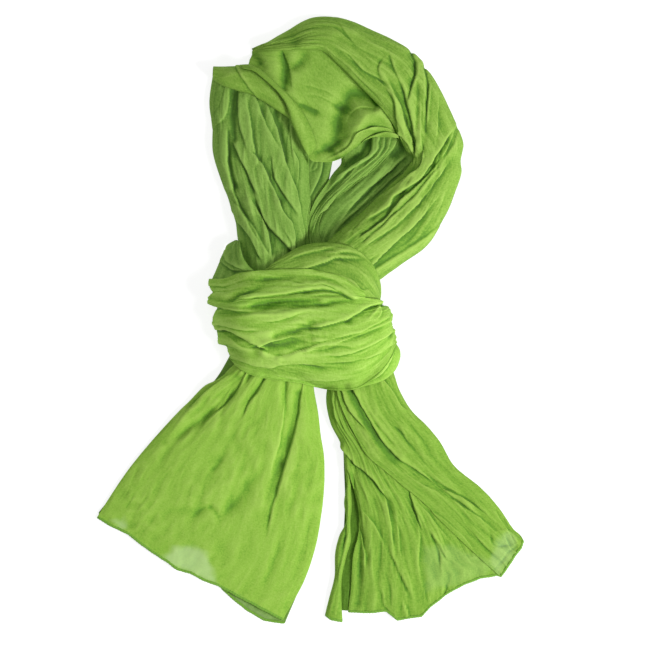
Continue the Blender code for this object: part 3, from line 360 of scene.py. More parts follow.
stretch("loop_inner", on="loop_right_inner", cloth="loop", cut=(75, 215), crinkle=(0.5, 12, 60, 0.6),
        arch="none", power=2.5, sections="""
251 49.5 248 66 0 3 12 0
262 46 262 82 0 12 20 0
280 43 280 98 0 17 26 0
300 40 295 120 0 18 26 0
318 42 308 156.5 0 18 22 0
335 50 321 162 0 18 20 0
352 62 338 160 0 17 20 0
366 76 354 149.5 0 16 22 0
380 90 371 139 0 14 24 0
394 106 387 137.5 0 13 24 0
404 126 398.5 139 0 12 20 0
""", folds="""
283 55 284 66 285 76 284 87 0 -6 0 6 7 6
284 54 287 61 289.5 68 291.5 84 1 0.5 2 6 10 4
304 56 300 62 295 66 289 69 0 -3.4 0 7 7 6
252 54 256 58 259 62 262 66 0 -4 0 5 10 5
378 102 364 93 350 95 342 108 0 -8 0 10 10 7
342 108 338 120 336 134 328 147 0 -7 0 9 7 6
338 150 354 138 363 121 377 110 0 8 0 14 4 9
347 122 352 112 362 107 377 109 1 0.6 1.2 4 3 6
383 107 388 115 391 124 397 136 -1 1.2 7 6 6 10
297 103 305 107 313 112 321 116 0 -2.4 0 5 2 3
297 102 306 105 314 108.5 321 112.5 1 0.5 1.4 3 5 3
318 152 327 149 336 144 344 137 0 -4 0 5 7 4
330 157 348 148 358 134 372 128.5 -1 1.2 3 4 3 10
372 128.5 380 127.6 388 129 397 135.5 -1 1.2 3 4 10 8
334 160 352 154 366 140 377 135 -1 1.4 2.4 2.6 5 10
377 135 384 132.6 391 133 397 136.5 -1 1.4 2.4 2.6 10 7
352 140 360 134 370 131 382 131 1 0.6 1.4 2 3 3
300 84 314 87 326 91 338 98 1 0.5 0.9 3 3 3
302 94 314 95 326 99 336 105 1 0.5 0.9 3 3 3
""")
stretch("loop_outer", on="core_right", cloth="loop", cut=(90, 445), crinkle=(1.2, 7, 80, 0.8), folded=0.86,
        power=2.5, sections="""
251.5 48 253 50.5 0 2.4 8 2
268 40.5 267 50 0 2.4 17 5
289.4 27.4 288 51 0 2.4 21 9
311.6 17 309 50 0 2.4 22 11
333 15.8 323 52 0 2.4 22 12
353 20.5 336 63 0 2.4 22 13
373 29.5 348 75 0 2.4 22 14
392 38 360 87 0 2.4 22 15
411 49.5 372 99 0 2.4 21 16
426 66 384 112 0 2.4 20 17
438 84 393 125 0 2.4 18 19
448 104 400 139 0 2.4 14 21
457 124 406 150 0 2.4 12 22
464 143 411 158 0 2.4 11 22
461.5 160 408 166 0 2.4 11 22
462 173 400 175 0 2.4 11 22
456 191 390 184 0 2.4 11 23
448 211 377 197 0 2.4 11 24
438 229.5 365 209 0 2.4 12 25
424 248 352 220 0 2.4 13 26
403 263 340 230 0 2.4 14 27
383 277.5 329 240 0 2.4 14 28
368 288 320 250 0 2.4 14 28
""", folds="""
334 46 350 56 362 69 381 80 1 1.5 3.2 6 0 10
384 78 393 96 400 120 409 150 0 1.5 0 2.2 3 6
391 84 400 102 406 126 412 152 0 -1.5 0 2.2 3 6
416 64 418 90 417 120 414 150 0 -1.8 0 2.4 5 5
422 62 425 90 423 120 418 150 0 1.5 0 2.2 5 4
428 68 432 92 429 120 424 148 0 -2 0 2.6 6 4
372 64 384 76 392 92 398 108 0 1.2 0 2 2 4
352 74 366 86 379 99 390 112 1 0.7 1.4 3 2 5
379 81 396 98 402 110 404 122 -1 1.5 3 4 5 10
404 122 408 133 411 142 413 157 -1 2 5 5 10 10
386 88 394 101 396 116 399 134 1 1.5 3 3.5 5 10
399 134 403 139 408 144 412 157 1 1.6 3 3 10 10
403 86 407 102 411 118 414 134 1 1.8 6 4.5 4 10
414 134 415.5 142 415 150 413.5 158 1 2 8 5 10 10
384 58 380 64 378.5 71 381 77 1 0.8 2.8 4 2 6
388.6 51 393 64 398.6 78.6 404 90 1 1.5 3.4 5 2 10
414 53 417.5 63 416.4 74 410 96 1 2 6.5 6 8 5
421.4 105 421 122 420.5 137 423 151 -1 1.2 3 3.5 4 8
427 67 430 86 428 108 426.5 130 1 2 6 4 7 5
438.6 98.6 438.5 112 438 125 436 143 -1 1 2 3.5 3 3
455.7 127 452 139 448 149 441 160 -1 1.4 2.6 3 6 6
458.5 131 455 143 449 153 441 164 1 1.2 2.2 3 5 5
450 134 444.5 142 438 152 431 163 -1 2.2 8 6 3 10
431 163 424 174 415 183 402 190 -1 2.4 6 5 10 10
402 190 394 196 388 206 372 216 -1 2 6 7 10 8
423 150 422 160 418 168 411 174 1 2 4.5 4 5 10
411 174 402 180 393 187 384 193 1 2 4 4 10 6
441 160 430 173 418 185 404 197 1 1.8 4 4 6 10
404 197 394 207 384 220 364 234 1 2 5 5 10 10
443 163 428 180 412 199 394 215 1 1.2 2.6 3.5 4 10
394 215 384 225 372 235 357 246 1 1.4 3 3.5 10 8
459 150 446 166 436 180 424 196 0 -3.5 0 8 3 10
452 160 440 176 430 190 418 204 -1 1.6 3.5 9 3 10
418 204 405 217 391 229 361 249 -1 1.4 2.8 4 10 8
436 200 418 222 398 240 376 262 -1 2 5 9 3 10
444 222 426 238 402 253 378 268 1 2 3 8 3 10
290 30 292 36 294 42 296 48 0 -3 0 12 6 8
336 18 347 34 360 50 369 59 1 0.8 1.5 4 3 3
330 24 341 33 356 45 368 60 -1 0.7 1.5 4 3 3
368 237 364 240 358 246 352 250 -1 1.2 2.4 4 4 8
""")
stretch("loop_left", on="core_left", cloth="shade", cut=(140, 190), crinkle=(1.1, 7, 70, 0.5), folded=0.82,
        power=2.5, sections="""
213 70 308 148 18 2.4 8 16
209 101 309 158 9 2.4 8 22
212 128 309.3 175 4 2.4 8 24
212.5 152 310 192 2 2.4 8 24
219.5 176 310.5 206 0 2.4 8 24
228.5 200 308.5 220 0 2.4 8 25
234 222 309 233 0 2.4 8 27
238.5 245 309 246 0 2.4 8 29
246 276 305 270 0 2.4 8 30
""", folds="""
221 82 222 92 219 103 213.6 112 -1 0.5 0.9 4 5 5
228.6 90 228 104 224 117 214 127 -1 1 2.4 8 9 3
234 92 232 108 231 124 234 138 0 -5 0 5 8 6
238 95 238 112 239.5 126 246 146 1 2 4 5 8 6
247 100 250.7 124 253.6 145.7 257 159 -1 1.8 4.5 4 4 10
255 95.7 262 114 268 128.6 277 144 -1 1.6 4.5 5 10 5
268 106 274 120 279 134 285 158 -1 1.6 4 4 6 8
276.4 113 280.7 130 284 145 286 158 0 -4.5 0 4 6 5
290 121 291 134 292 146 294 162 1 1.8 4.5 4 6 5
226.4 134 226.4 152 227 166 231 186 -1 2.4 8 6 6 10
231 186 236 200 244 217 257 239 -1 2.2 4.5 4 10 6
234 146 240 158 247 172 254 188 1 2.2 6.5 6 6 8
231 150 232 165 235 178 240 190 0 1.2 0 2.5 2 2
255 156 263 166 270.7 183 279 201 -1 1.8 6 4 8 10
279 201 283 211 288 217 292 222 -1 1.8 4 3 10 6
272 160 275 178 284 194 295 210 1 1.6 5 5 5 8
283.6 153 289 171 296 187 300 205 -1 1.6 4 4 8 8
300 205 303 220 305 232 305 246 -1 1.5 3.5 3.5 8 8
293.6 150 299 162 299 172 298 184 -1 1.6 3.5 3 8 3
247 196 249 203 251 209 254 218 0 2.2 0 4 3 2
253 203 262 219 268 233 271 252 -1 1.6 6.5 6 5 10
258 205 266 222 275 233 291 249 1 2.2 8 8 4 10
235 204 243 215 252 226 266 250 -1 1.6 3.5 3.5 6 10
233 214 240 225 250 237 258 254 1 1.8 5 6 4 10
292 222 295 232 295 242 296 252 -1 1.5 4 3 6 8
284 230 289 238 292 245 293 252 1 1.2 3.5 3 3 8
""")
stretch("loop_left_fold", on="loop_left", cloth="loop", cut=(35, 110), crinkle=(0.5, 7, 50, 0.4), power=3,
        sections="""
213 65.6 212.4 79 0 2.4 8 16
226 65.6 223 86 0 4 14 17
238 64.8 236 90.5 0 10 20 14
250 66 252 95.5 0 18 26 9
265 75 266 103.5 0 24 29 6
278 88 279 112 0 26 30 5
289 103 290 119.5 0 26 30 4
295 113 294 124 0 26 29 3
""", folds="""
236 66 242 78 249 88 256 97 1 1.2 1.6 5 8 5
222 78 232 75 240 77 250 82 0 1.2 0 4 3 3
262 84 271 93 280 103 288 113 0 1 0 5 3 3
""")
stretch("loop_left_hem", on="loop_left_fold", cloth="loop", cut=(20, 135), crinkle=(0.4, 6, 50, 0.2),
        power=3, sections="""
240 64.5 243 69 0 18 24 6
252 65 253 71.5 0 22 30 6
265 73 264 80 0 26 34 6
277 84 276 91 0 28 36 6
287 93 284 101 0 29 36 6
297 104 288 110 0 29 36 6
306 117 291 122 0 28 35 6
313 132 297 135.5 0 26 34 6
316.3 145 302.5 147.5 0 24 32 5
311.5 154 308 156.5 0 22 28 3
""", folds="""
285 96 293 110 300 124 308 140 0 1.2 0 5 3 3
""")
stretch("knot_left", on="loop_left", cloth="shade", cut=(50, 60), crinkle=(0.8, 5, 40, 0.4), power=2.4,
        sections="""
235 239.5 239 240.5 0 2.4 16 4
227.5 244.5 241 249 0 2.4 26 9
221.8 252.5 244 258.5 0 2.4 32 10
218.8 261 250 267 0 2.4 36 10
216 269 258 273 0 2.4 38 10
212.5 277 258 280 0 2.4 38 10
210 283 250 287 0 2.4 36 10
""", folds="""
226 246 225 254 229 262 240 268 1 2 3.5 5 3 8
222 263 227 267 233 270 242 271 1 1.4 2.4 4 6 4
225 253 227 259 231 264 242 266.5 0 1.6 0 2.5 6 6
""")
stretch("knot_right", on="loop_outer", cloth="loop", cut=(45, 165), crinkle=(1, 6, 60, 0.4), power=2.4,
        sections="""
265 269.5 267 275 0 36 38 2
284 255.6 288 277 0 36 38 6
303 245.7 308 278 0 34 40 10
325 242.3 326 281 0 33 42 11
345 245 340 285 0 30 43 12
357 250.5 350 290 0 26 43 13
368 259 358 295 0 20 42 14
376 270 364 300 0 12 38 15
380.5 282 371 303 0 5 30 14
381.5 292 377 305 0 2.4 18 9
380.5 300 379.5 306 0 2.4 8 3
""", folds="""
308 268 323 263 339 257.5 358 258.5 1 2 5 6 8 4
330 254 345 252 357 254 368 261 1 1.5 3 5 2 2
285 262 300 255 318 251 335 247 1 1 1.8 5 3 3
345 277 355 283 362 290 366 290 -1 1 2 4 3 6
""")
stretch("knot_end", on="core_knot", cut=(30, 85), crinkle=(0.7, 6, 40, 0.3), power=2.2, sections="""
352 383 351 389.6 0 9 2.4 3
366 375 368 386 0 20 2.4 9
378 363 383.5 380.5 0 24 2.4 14
384 352 394.5 371.5 0 24 2.4 14
386 344 400 360 0 22 2.4 13
386 338 400.5 351 0 18 2.4 9
385 332 397 343 0 14 2.4 5
""", folds="""
366 382.5 381 374 390 362 395 346 1 1.6 4 3 8 8
""")
stretch("knot_lower", on="core_knot", cut=(120, 245), crinkle=(1.2, 7, 70, 0.8), arch="right", power=2.3,
        round_ends=(0.22, 0.24), first_end="""
207 297  206.5 303.5  216 307.5  212.3 317  212 322.5  218.4 344  226 348  227.2 360  236 367.5
""", last_end="""
382 301.5  390.3 308.4  393.6 315  394.3 322  396.6 331  396.8 343.5
""", sections="""
208 297 236 367.5 -9 36 2.4 20
225 292.5 252 375.5 -5 44 2.4 22
250 290.5 273 380 -2 50 2.4 23
280 290 300 384 0 53 2.4 24
310 290 325 389.3 0 54 2.4 24
335 292 345 390.3 0 53 2.4 24
352 297 361 387 0 50 2.4 24
366 298 379 374 2 44 2.4 24
377 299.5 391 358 4 40 2.4 20
382 301.5 396.5 343.5 5 34 2.4 14
""", folds="""
214 306 226 309 242 311 264 310 1 1.5 2.6 4 10 0
245 308 262 303 284 300.5 316 300 0 -5.5 0 4 2 5
248 310 268 307.5 292 305.5 318 304 0 -2.6 0 5 2 2
228 318 255 315 285 313 315 308 0 1.6 0 3.5 2 2
259 322 276 320.7 291 316.4 308 311 1 1.8 2.8 4 2 2
220 325 234 328 246 330 264 330 1 1.8 4 4 10 1
217 330 228 330.5 243 337.5 260 348 1 2.8 10 7 6 10
259 347.5 270 343.5 286 339 306 336 1 1.2 2.6 8 10 2
256 347 271 347.5 289 344 310 340 0 -7 0 6.5 9 3
224 336 243 348 262 353 279 357 -1 1.8 2 4 3 10
279 357 288 355 303 350 330 340 -1 1.8 2.4 5 10 2
320 321.5 306 327 292 332.5 276 336 0 -5 0 5.5 2 10
228 359 242 361.5 256 366 270 367.5 1 1.4 2.6 4 5 8
270 367.5 285 364.5 305 365 330 369 1 1.4 2.4 4 8 2
225.5 349 228 358 233 367 242 374 0 -2.4 0 2.5 8 2
306 305 322 304 337 301.5 350 300.5 0 -3.2 0 3 3 6
381 303 369 306 360 311.5 347 319 -1 2.2 6 5 10 9
347 319 331 324 318 326.5 300 328 -1 1.8 4.4 4.5 9 2
296 352 311 351 328 348 345 344 1 1.2 2 3.5 3 2
301 365 317 368 335 369.5 352 369 0 -2.2 0 4 3 3
314 342 336 338 360 332 386 319 1 1.2 2.4 4 2 8
300 348 329 345 357 336 391 322 1 1 1.8 3.5 2 6
309 356 343 355 369 346 393 333 1 1.2 2.4 4 2 8
314 363.6 347 362 374 356 391 346 1 1.2 2.2 3.5 2 7
270 375 300 380 330 381 352 378 1 1 1.8 4 2 2
390 342 394 334 395.5 326 394 320 0 -3 0 2.5 5 6
380 305 376 310 372 315 368 319 0 1.6 0 1.8 10 3
381 306 382 311 380 316 376 320 -1 1.2 2.4 3 8 2
""")
stretch("knot_upper", on="knot_lower", cut=(35, 200), crinkle=(1.3, 6, 60, 0.5), folded=1.3, arch="left",
        power=2.3, round_ends=(0.2, 0),
        first_end="208.4 278.6  208 286  211.8 292.5  207.6 296  206.6 302", sections="""
207.4 278.6 206 301 3 2.4 36 5
223 278.3 228 301 0 14 48 8
240 272.7 250 299 0 32 54 6
262 270.3 275 298.5 0 42 57 4
285 269.2 300 298 0 42 59 4
305 269 322 298 0 44 59 4
325 271 338 298.3 0 46 58 4
342 275.6 349.5 298.4 0 47 55 4
354 283.5 357 298.6 0 46 52 3
365.5 291 365 298.8 0 42 47 2
""", folds="""
211 299 228 300 244 292 269 286 0 -3.2 0 4 6 1
236 299 258 296.5 282 294 305 290 1 1.6 2.6 3 2 10
305 290 320 288.5 335 290 352 297.5 1 1.8 3.5 3.5 10 10
296 286 312 284.5 330 286 348 295 1 1.2 2 3 3 10
208 286 222 286 232 284 245 279 1 1.2 2.4 4 8 2
336 288 343 291 349 295 355 298.5 1 1.5 4.5 2.5 4 10
318 270.5 335 272.5 349 279 361 289 0 -1.4 0 2 5 5
252 281 268 278 285 277 298 276 0 -1.8 0 4 3 2
290 281 305 285 320 284 342 292 -1 0.8 1.5 2.5 3 5
310 296 325 294 335 294 343 293 1 0.8 1.4 2.5 3 5
300 276 320 276 338 282 350 292 1 0.6 1.2 4 2 5
""")


def to_mm(points):
    """Plan points as X and Y in mm, with Y up the plan."""
    points = np.asarray(points, float)
    return np.stack([(points[..., 0] - PLAN_X) * SQUARE, (PLAN_Y - points[..., 1]) * SQUARE], -1)


def along(rows, t):
    """A smooth curve through the rows, at t from 0 to 1."""
    last = len(rows) - 1
    place = np.clip(t, 0, 1) * last
    i = np.minimum(place.astype(int), last - 1)
    f = (place - i)[..., None]
    padded = np.vstack([2 * rows[0] - rows[1], rows, 2 * rows[-1] - rows[-2]])
    a, b, c, d = padded[i], padded[i + 1], padded[i + 2], padded[i + 3]
    return b + 0.5 * f * (c - a + f * (2 * a - 5 * b + 4 * c - d + f * (3 * (b - c) + d - a)))


def running(steps):
    """How far along each point of a line lies, from the steps between them."""
    return np.concatenate([[0], np.cumsum(steps)])


def by_length(points, t):
    """A line through the points, at t of its length."""
    steps = np.hypot(*np.diff(points, axis=0).T)
    at = running(steps) / steps.sum()
    return np.stack([np.interp(t, at, points[:, k]) for k in (0, 1)], -1)


def smooth(x):
    """An even step from 0 to 1 with round ends."""
    x = np.clip(x, 0, 1)
    return x * x * (3 - 2 * x)


def on_section(row, s):
    """Plan points on the bowed line of a section, at s from its left to its right edge."""
    left, right = to_mm(row[..., 0:2]), to_mm(row[..., 2:4])
    chord = right - left
    across = np.stack([-chord[..., 1], chord[..., 0]], -1)
    across /= np.hypot(chord[..., 0], chord[..., 1])[..., None]
    bow = row[..., 4] * SQUARE * 4 * s * (1 - s)
    return left + chord * s[..., None] + across * bow[..., None]


def form(piece, s, v):
    """Points of a stretch without its folds: s from its left to its right edge, v along it."""
    row = along(piece["sections"], v)
    plan = on_section(row, s)
    for end, points in piece["ends"].items():
        there = on_section(along(piece["sections"], np.full_like(v, float(end))), s)
        near = smooth(1 - np.abs(v - end) / END_BLEND)
        plan = plan + (to_mm(by_length(points, s)) - there) * near[..., None]
    kind, power = piece["arch"], piece["power"]
    off = {"both": np.abs(2 * s - 1), "left": 1 - s, "right": s, "none": np.ones_like(s)}[kind]
    arch = np.sqrt(np.clip(1 - off ** power, 0, 1))
    left, right, crown = row[..., 5], row[..., 6], row[..., 7]
    if kind == "right":
        height = right + (left - right) * arch + crown * arch * s
    else:
        height = left + (right - left) * s + crown * arch
    for size, place in zip(piece["round_ends"], (v, 1 - v)):
        if size:
            out = np.clip(1 - place / size, 0, 1)
            height = EDGE + (height - EDGE) * np.sqrt(np.clip(1 - out ** 2.2, 0, 1))
    return np.concatenate([plan, height[..., None]], -1)


def normals_of(grid):
    """Upward normals of a grid of points."""
    normal = np.cross(np.gradient(grid, axis=1), np.gradient(grid, axis=0))
    normal /= np.maximum(np.linalg.norm(normal, axis=-1), 1e-9)[..., None]
    return -normal if normal[..., 2].mean() < 0 else normal


NOISE = np.random.default_rng(NOISE_SEED).uniform(0, 2 * np.pi, (TILE, TILE))


def noise(x, y, seed):
    """Smooth noise from -1 to 1, one wave a unit; the seed moves to another part of it."""
    x, y = x + 37.7 * seed, y + 91.3 * seed
    i, j = np.floor(x).astype(int), np.floor(y).astype(int)
    fx, fy = x - i, y - j
    ux, uy = (f ** 3 * (f * (f * 6 - 15) + 10) for f in (fx, fy))

    def corner(di, dj):
        angle = NOISE[(i + di) % TILE, (j + dj) % TILE]
        return np.cos(angle) * (fx - di) + np.sin(angle) * (fy - dj)

    low = corner(0, 0) * (1 - ux) + corner(1, 0) * ux
    high = corner(0, 1) * (1 - ux) + corner(1, 1) * ux
    return 1.5 * (low * (1 - uy) + high * uy)


def pleats(u, w, across, length, seed):
    """Narrow pleats along the cloth, from 0 to 1, that lie over to one side here and to the other there."""
    phase = u / across + 0.9 * noise(u / (5 * across), w / (1.2 * length), seed)
    phase = phase + 0.4 * noise(u / (1.4 * across), w / (0.5 * length), seed + 1)
    number = np.floor(phase)
    f = phase - number

    def leaning(f):
        return np.where(f < 1 - PLEAT_EDGE, f / (1 - PLEAT_EDGE), (1 - f) / PLEAT_EDGE)

    way = smooth(0.5 + 1.6 * noise(u / (4 * across), w / (1.5 * length), seed + 2))
    power = smooth(0.45 + 0.9 * noise(w / (0.45 * length) + 7.3 * number, number * 3.1, seed + 3))
    return power * (way * leaning(f) + (1 - way) * leaning(1 - f))


def crinkle(u, w, size, seed):
    """Small wrinkles that run along the cloth, with u across it and w along it in mm.

    They mix a broad band, wide and narrow pleats, fine lines and cross wrinkles. The factors are shares of
    the stretch's own height, spacing and length.
    """
    height, across, length, crumple = size
    wide = pleats(u, w, across, length, seed)
    shift = 0.5 * across * noise(u / 40, w / 50, seed + 9)
    band = noise((u + shift) / (1.1 * across), w / (0.9 * length), seed + 10)
    narrow = pleats(u, w, 0.45 * across, 0.5 * length, seed + 20)
    fine = 1 - 2.2 * np.abs(noise(u / (0.3 * across), w / (0.25 * length), seed + 40))
    cross = noise(u / (1.3 * across), w / (0.5 * across), seed + 41)
    where = 0.4 + 0.6 * smooth(0.5 + 0.9 * noise(u / 45, w / 60, seed + 42))
    small = height * (0.9 * band + where * (wide + 0.5 * narrow + 0.16 * fine + 0.14 * cross - 0.6))
    soft = 0.6 - 1.8 * np.sqrt(noise(u / 30, w / 44, seed + 43) ** 2 + 0.015)
    soft = soft + 0.45 - 1.2 * np.sqrt(noise(u / 15, w / 24, seed + 44) ** 2 + 0.015)
    return small + crumple * smooth(0.5 + noise(u / 70, w / 70, seed + 45)) * soft


def relief(folds, plan, seed):
    """Height of the folds over the smooth form at the plan positions, and how far their edges lean over."""
    total, lean = np.zeros(plan.shape[:-1]), np.zeros(plan.shape)
    for number, fold in enumerate(folds):
        side, high, low, reach = fold[8:12]
        first, last = fold[12:] / 10
        line = to_mm(along(fold[:8].reshape(4, 2), np.linspace(0, 1, FOLD_POINTS)))
        margin = 3 * reach + 6
        near = ((plan > line.min(0) - margin) & (plan < line.max(0) + margin)).all(-1)
        if not near.any():
            continue
        step = np.diff(line, axis=0)
        size = np.hypot(step[:, 0], step[:, 1])
        rel = plan[near][:, None, :] - line[:-1]
        raw = (rel * step).sum(-1) / size ** 2
        t = np.clip(raw, 0, 1)
        gap = rel - t[..., None] * step
        best = np.argmin(np.hypot(gap[..., 0], gap[..., 1]), -1)
        pick = np.arange(len(best))
        raw, t, rel = raw[pick, best], t[pick, best], rel[pick, best]
        unit = step[best] / size[best][:, None]
        d = unit[:, 0] * rel[:, 1] - unit[:, 1] * rel[:, 0]
        beyond = np.abs(raw - t) * size[best]
        place = (best + t) / len(step)
        run = place * size.sum()
        d = d + WAVER * noise(run / WAVER_RUN, run * 0 + number, seed)
        power = first + (1 - first) * smooth(place / DYING)
        power = power * (last + (1 - last) * smooth((1 - place) / DYING))
        power = power * np.exp(-(beyond / FADE) ** 2)
        power = power * (1 + UNEVEN * noise(run / UNEVEN_RUN, run * 0 + number, seed + 1))
        if side == 0:
            total[near] += power * high * np.exp(-(np.abs(d) / reach) ** RIDGE)
            continue
        high, low = CREST * high, TROUGH * low
        d = d * side
        over = 0.5 * (1 + np.tanh(d / LIP))
        total[near] += power * (over * high * np.exp(-(np.clip(d, 0, None) / reach) ** FALL)
                                - (1 - over) * low * np.exp(-(np.clip(-d, 0, None) / reach) ** FALL))
        push = power * LEAN * (high + low) * over * np.exp(-(np.clip(d, 0, None) / LEAN_REACH) ** 2)
        lean[near] -= (side * push)[:, None] * np.stack([-unit[:, 1], unit[:, 0]], -1)
    return total, lean


def moved(grid, size, axis):
    """A grid moved along one axis by each number of points up to size, with its edges drawn out."""
    wide = np.pad(grid, [(size * (k == axis),) * 2 for k in (0, 1)], mode="edge")
    return [wide.take(range(k, k + grid.shape[axis]), axis) for k in range(2 * size + 1)]


def spread_out(grid, size):
    """Highest value within a few points of each point of a grid."""
    for axis in (0, 1):
        grid = np.max(moved(grid, size, axis), 0)
    return grid


def blurred(grid, size):
    """Mean over a few points round each point of a grid, taken twice."""
    for axis in (0, 1, 0, 1):
        grid = sum(moved(grid, size, axis)) / (2 * size + 1)
    return grid


class HeightMap:
    """Highest cloth so far over each cell of the floor."""

    def __init__(self):
        self.top = np.zeros((int(2 * MAP_Y / CELL), int(2 * MAP_X / CELL)))

    def cells(self, plan):
        """Row and column of the cell that each plan point lies in."""
        i = np.clip(((plan[..., 1] + MAP_Y) / CELL).astype(int), 1, self.top.shape[0] - 2)
        j = np.clip(((plan[..., 0] + MAP_X) / CELL).astype(int), 1, self.top.shape[1] - 2)
        return i, j

    def add(self, grid, parts=3):
        """Lays a grid of points down, with a few points within each of its squares."""
        p00, p10, p01, p11 = grid[:-1, :-1], grid[1:, :-1], grid[:-1, 1:], grid[1:, 1:]
        for a in np.linspace(0, 1, parts):
            for b in np.linspace(0, 1, parts):
                point = (1 - a) * ((1 - b) * p00 + b * p01) + a * ((1 - b) * p10 + b * p11)
                np.maximum.at(self.top, self.cells(point), point[..., 2])

    def lift(self, under):
        """How far each point of an underside must rise to clear what is there, smoothed."""
        spread = spread_out(self.top, 1)
        spread = np.where(spread > 0, spread + AIR, 0)
        need = np.maximum(spread[self.cells(under)] - under[..., 2], 0)
        eased = blurred(spread_out(need, 2), 2)
        return np.maximum(eased, need)


def sheer(plan, seed):
    """Where the cloth lies single and the pale surface seen through it is painted into its colour, 0 to 1."""
    found = np.zeros(plan.shape[:-1])
    for share, patch in SHEER:
        corners = to_mm(patch)
        inside = np.full(plan.shape[:-1], np.inf)
        for a, b in zip(corners, np.roll(corners, -1, 0)):
            way = (b - a) / np.hypot(*(b - a))
            gap = way[1] * (plan[..., 0] - a[0]) - way[0] * (plan[..., 1] - a[1])
            inside = np.minimum(inside, gap)
        ragged = SHEER_WAVER * noise(plan[..., 0] / SHEER_RUN, plan[..., 1] / SHEER_RUN, seed)
        found = np.maximum(found, share * smooth(0.5 + (inside + ragged) / SHEER_EDGE))
    return found


def finished(name, points, faces, material, uv, values):
    """A piece from points in mm, with its own map and values, that rides on the root."""
    mesh = bpy.data.meshes.new(name)
    mesh.from_pydata((points / 1000).tolist(), [], faces)
    mesh.shade_smooth()
    layer = mesh.uv_layers.new(name="cloth")
    corners = np.zeros(len(mesh.loops), int)
    mesh.loops.foreach_get("vertex_index", corners)
    layer.data.foreach_set("uv", (uv[corners] / 1000).astype(np.float32).ravel())
    for key, value in values.items():
        data = mesh.attributes.new(key, "FLOAT", "POINT").data
        data.foreach_set("value", value.astype(np.float32))
    mesh.materials.append(material)
    obj = bpy.data.objects.new(name, mesh)
    bpy.context.scene.collection.objects.link(obj)
    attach(obj, "root")
    return obj


def sheet_faces(rows, cols):
    """Faces of a closed sheet between an upper and a lower grid of points."""
    at = np.arange(rows * cols).reshape(rows, cols)
    upper = np.stack([at[:-1, :-1], at[:-1, 1:], at[1:, 1:], at[1:, :-1]], -1).reshape(-1, 4)
    lower = upper[:, ::-1] + rows * cols
    rim = np.concatenate([at[0, :], at[1:, -1], at[-1, -2::-1], at[-2:0:-1, 0]])
    after = np.roll(rim, -1)
    sides = np.stack([rim, rim + rows * cols, after + rows * cols, after], -1)
    return np.concatenate([upper, lower, sides])


def tube_faces(rows, cols, turned=False):
    """Faces round a tube of rings of points and over its ends; turned where its rings run the other way."""
    at = np.arange(rows * cols).reshape(rows, cols)
    after = np.roll(at, -1, 1)
    corners, ends = [at[:-1], at[1:], after[1:], after[:-1]], [at[0], at[-1][::-1]]
    if turned:
        corners, ends = [corners[k] for k in (0, 3, 2, 1)], [end[::-1] for end in ends]
    return np.stack(corners, -1).reshape(-1, 4).tolist() + [end.tolist() for end in ends]


def plain(count, tone):
    """Values of a piece with one tone all over, lower for more painted shade, and no pale surface painted
    through.
    """
    return {"fold": np.full(count, tone), "broad": np.full(count, tone), "sheer": np.zeros(count)}


def lay_sheet(name, piece, heap, lit_and_shaded_cloths, seed):
    """One stretch of cloth, laid over everything that is there already."""
    probe_v, probe_s = np.linspace(0, 1, PROBES_ALONG), np.linspace(0, 1, PROBES_ACROSS)
    lines = [form(piece, np.full_like(probe_v, k), probe_v) for k in (0.02, 0.5, 0.98)]
    length = running(np.mean([np.linalg.norm(np.diff(line, axis=0), axis=1) for line in lines], 0))
    widths = [np.hypot(*np.diff(form(piece, probe_s, np.full_like(probe_s, k))[:, :2], axis=0).T).sum()
              for k in np.linspace(0.05, 0.95, 7)]
    width = 0.5 * (np.mean(widths) + np.max(widths))
    grain = GRAIN * piece["coarse"]
    rows, cols = int(length[-1] / grain) + 2, int(MORE_ACROSS * width / grain) + 2
    run = np.linspace(0, length[-1], rows)
    t = np.linspace(0, 1, cols)
    arched = piece["arch"] != "none"
    ease = EASE if arched else 0
    s = (1 - ease) * t + ease * 0.5 * (1 - np.cos(np.pi * t))
    s, v = np.meshgrid(s, np.interp(run, length, probe_v))
    u, w = (s - 0.5) * width, np.repeat(run[:, None], cols, 1)
    base = form(piece, s, v)
    normal = normals_of(base)
    folds, lean = (x * piece["folded"] for x in relief(piece["folds"], base[..., :2], seed))
    rim = smooth(np.minimum(s, 1 - s) * width / RIM) if arched else 1
    total = folds + crinkle(u, w, piece["crinkle"], seed) * (RIM_CRINKLE + (1 - RIM_CRINKLE) * rim)
    points = base + normal * total[..., None]
    points[..., :2] += lean
    points[..., 2] = np.maximum(points[..., 2], CLOTH + FLOOR)
    under = points - normals_of(points) * CLOTH
    rise = heap.lift(np.minimum(under, points))
    points[..., 2] += rise
    under[..., 2] = np.maximum(under[..., 2] + rise, FLOOR)
    heap.add(points)
    # fold: painted shade in creases and painted light on crests; broad: painted shade in broad hollows and
    # painted light on swells; sheer: the painted pale surface showing through.
    cavity = total - blurred(total, max(1, round(CREASE / grain)))
    broad = blurred(total, 1) - blurred(total, round(SWELL / grain))
    faces = sheet_faces(rows, cols)
    if np.cross(points[0, 1] - points[0, 0], points[1, 0] - points[0, 0])[2] < 0:
        faces = faces[:, ::-1]
    uv = np.tile(np.stack([u, w], -1).reshape(-1, 2), (2, 1))
    values = {"fold": np.tile(np.clip(0.5 + CREASE_SHADING * cavity, 0, 1).ravel(), 2),
              "broad": np.tile(np.clip(0.5 + SWELL_SHADING * broad, SWELL_LEAST, 1).ravel(), 2),
              "sheer": np.tile(sheer(base, seed).ravel(), 2)}
    both = np.concatenate([points.reshape(-1, 3), under.reshape(-1, 3)])
    obj = finished(name + "_cloth", both, faces.tolist(), lit_and_shaded_cloths[piece["cloth"]], uv, values)
    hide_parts(name)
    if piece["hem"]:
        roll_hem(name, points[-1], points[-1] - points[-3], lit_and_shaded_cloths, seed)


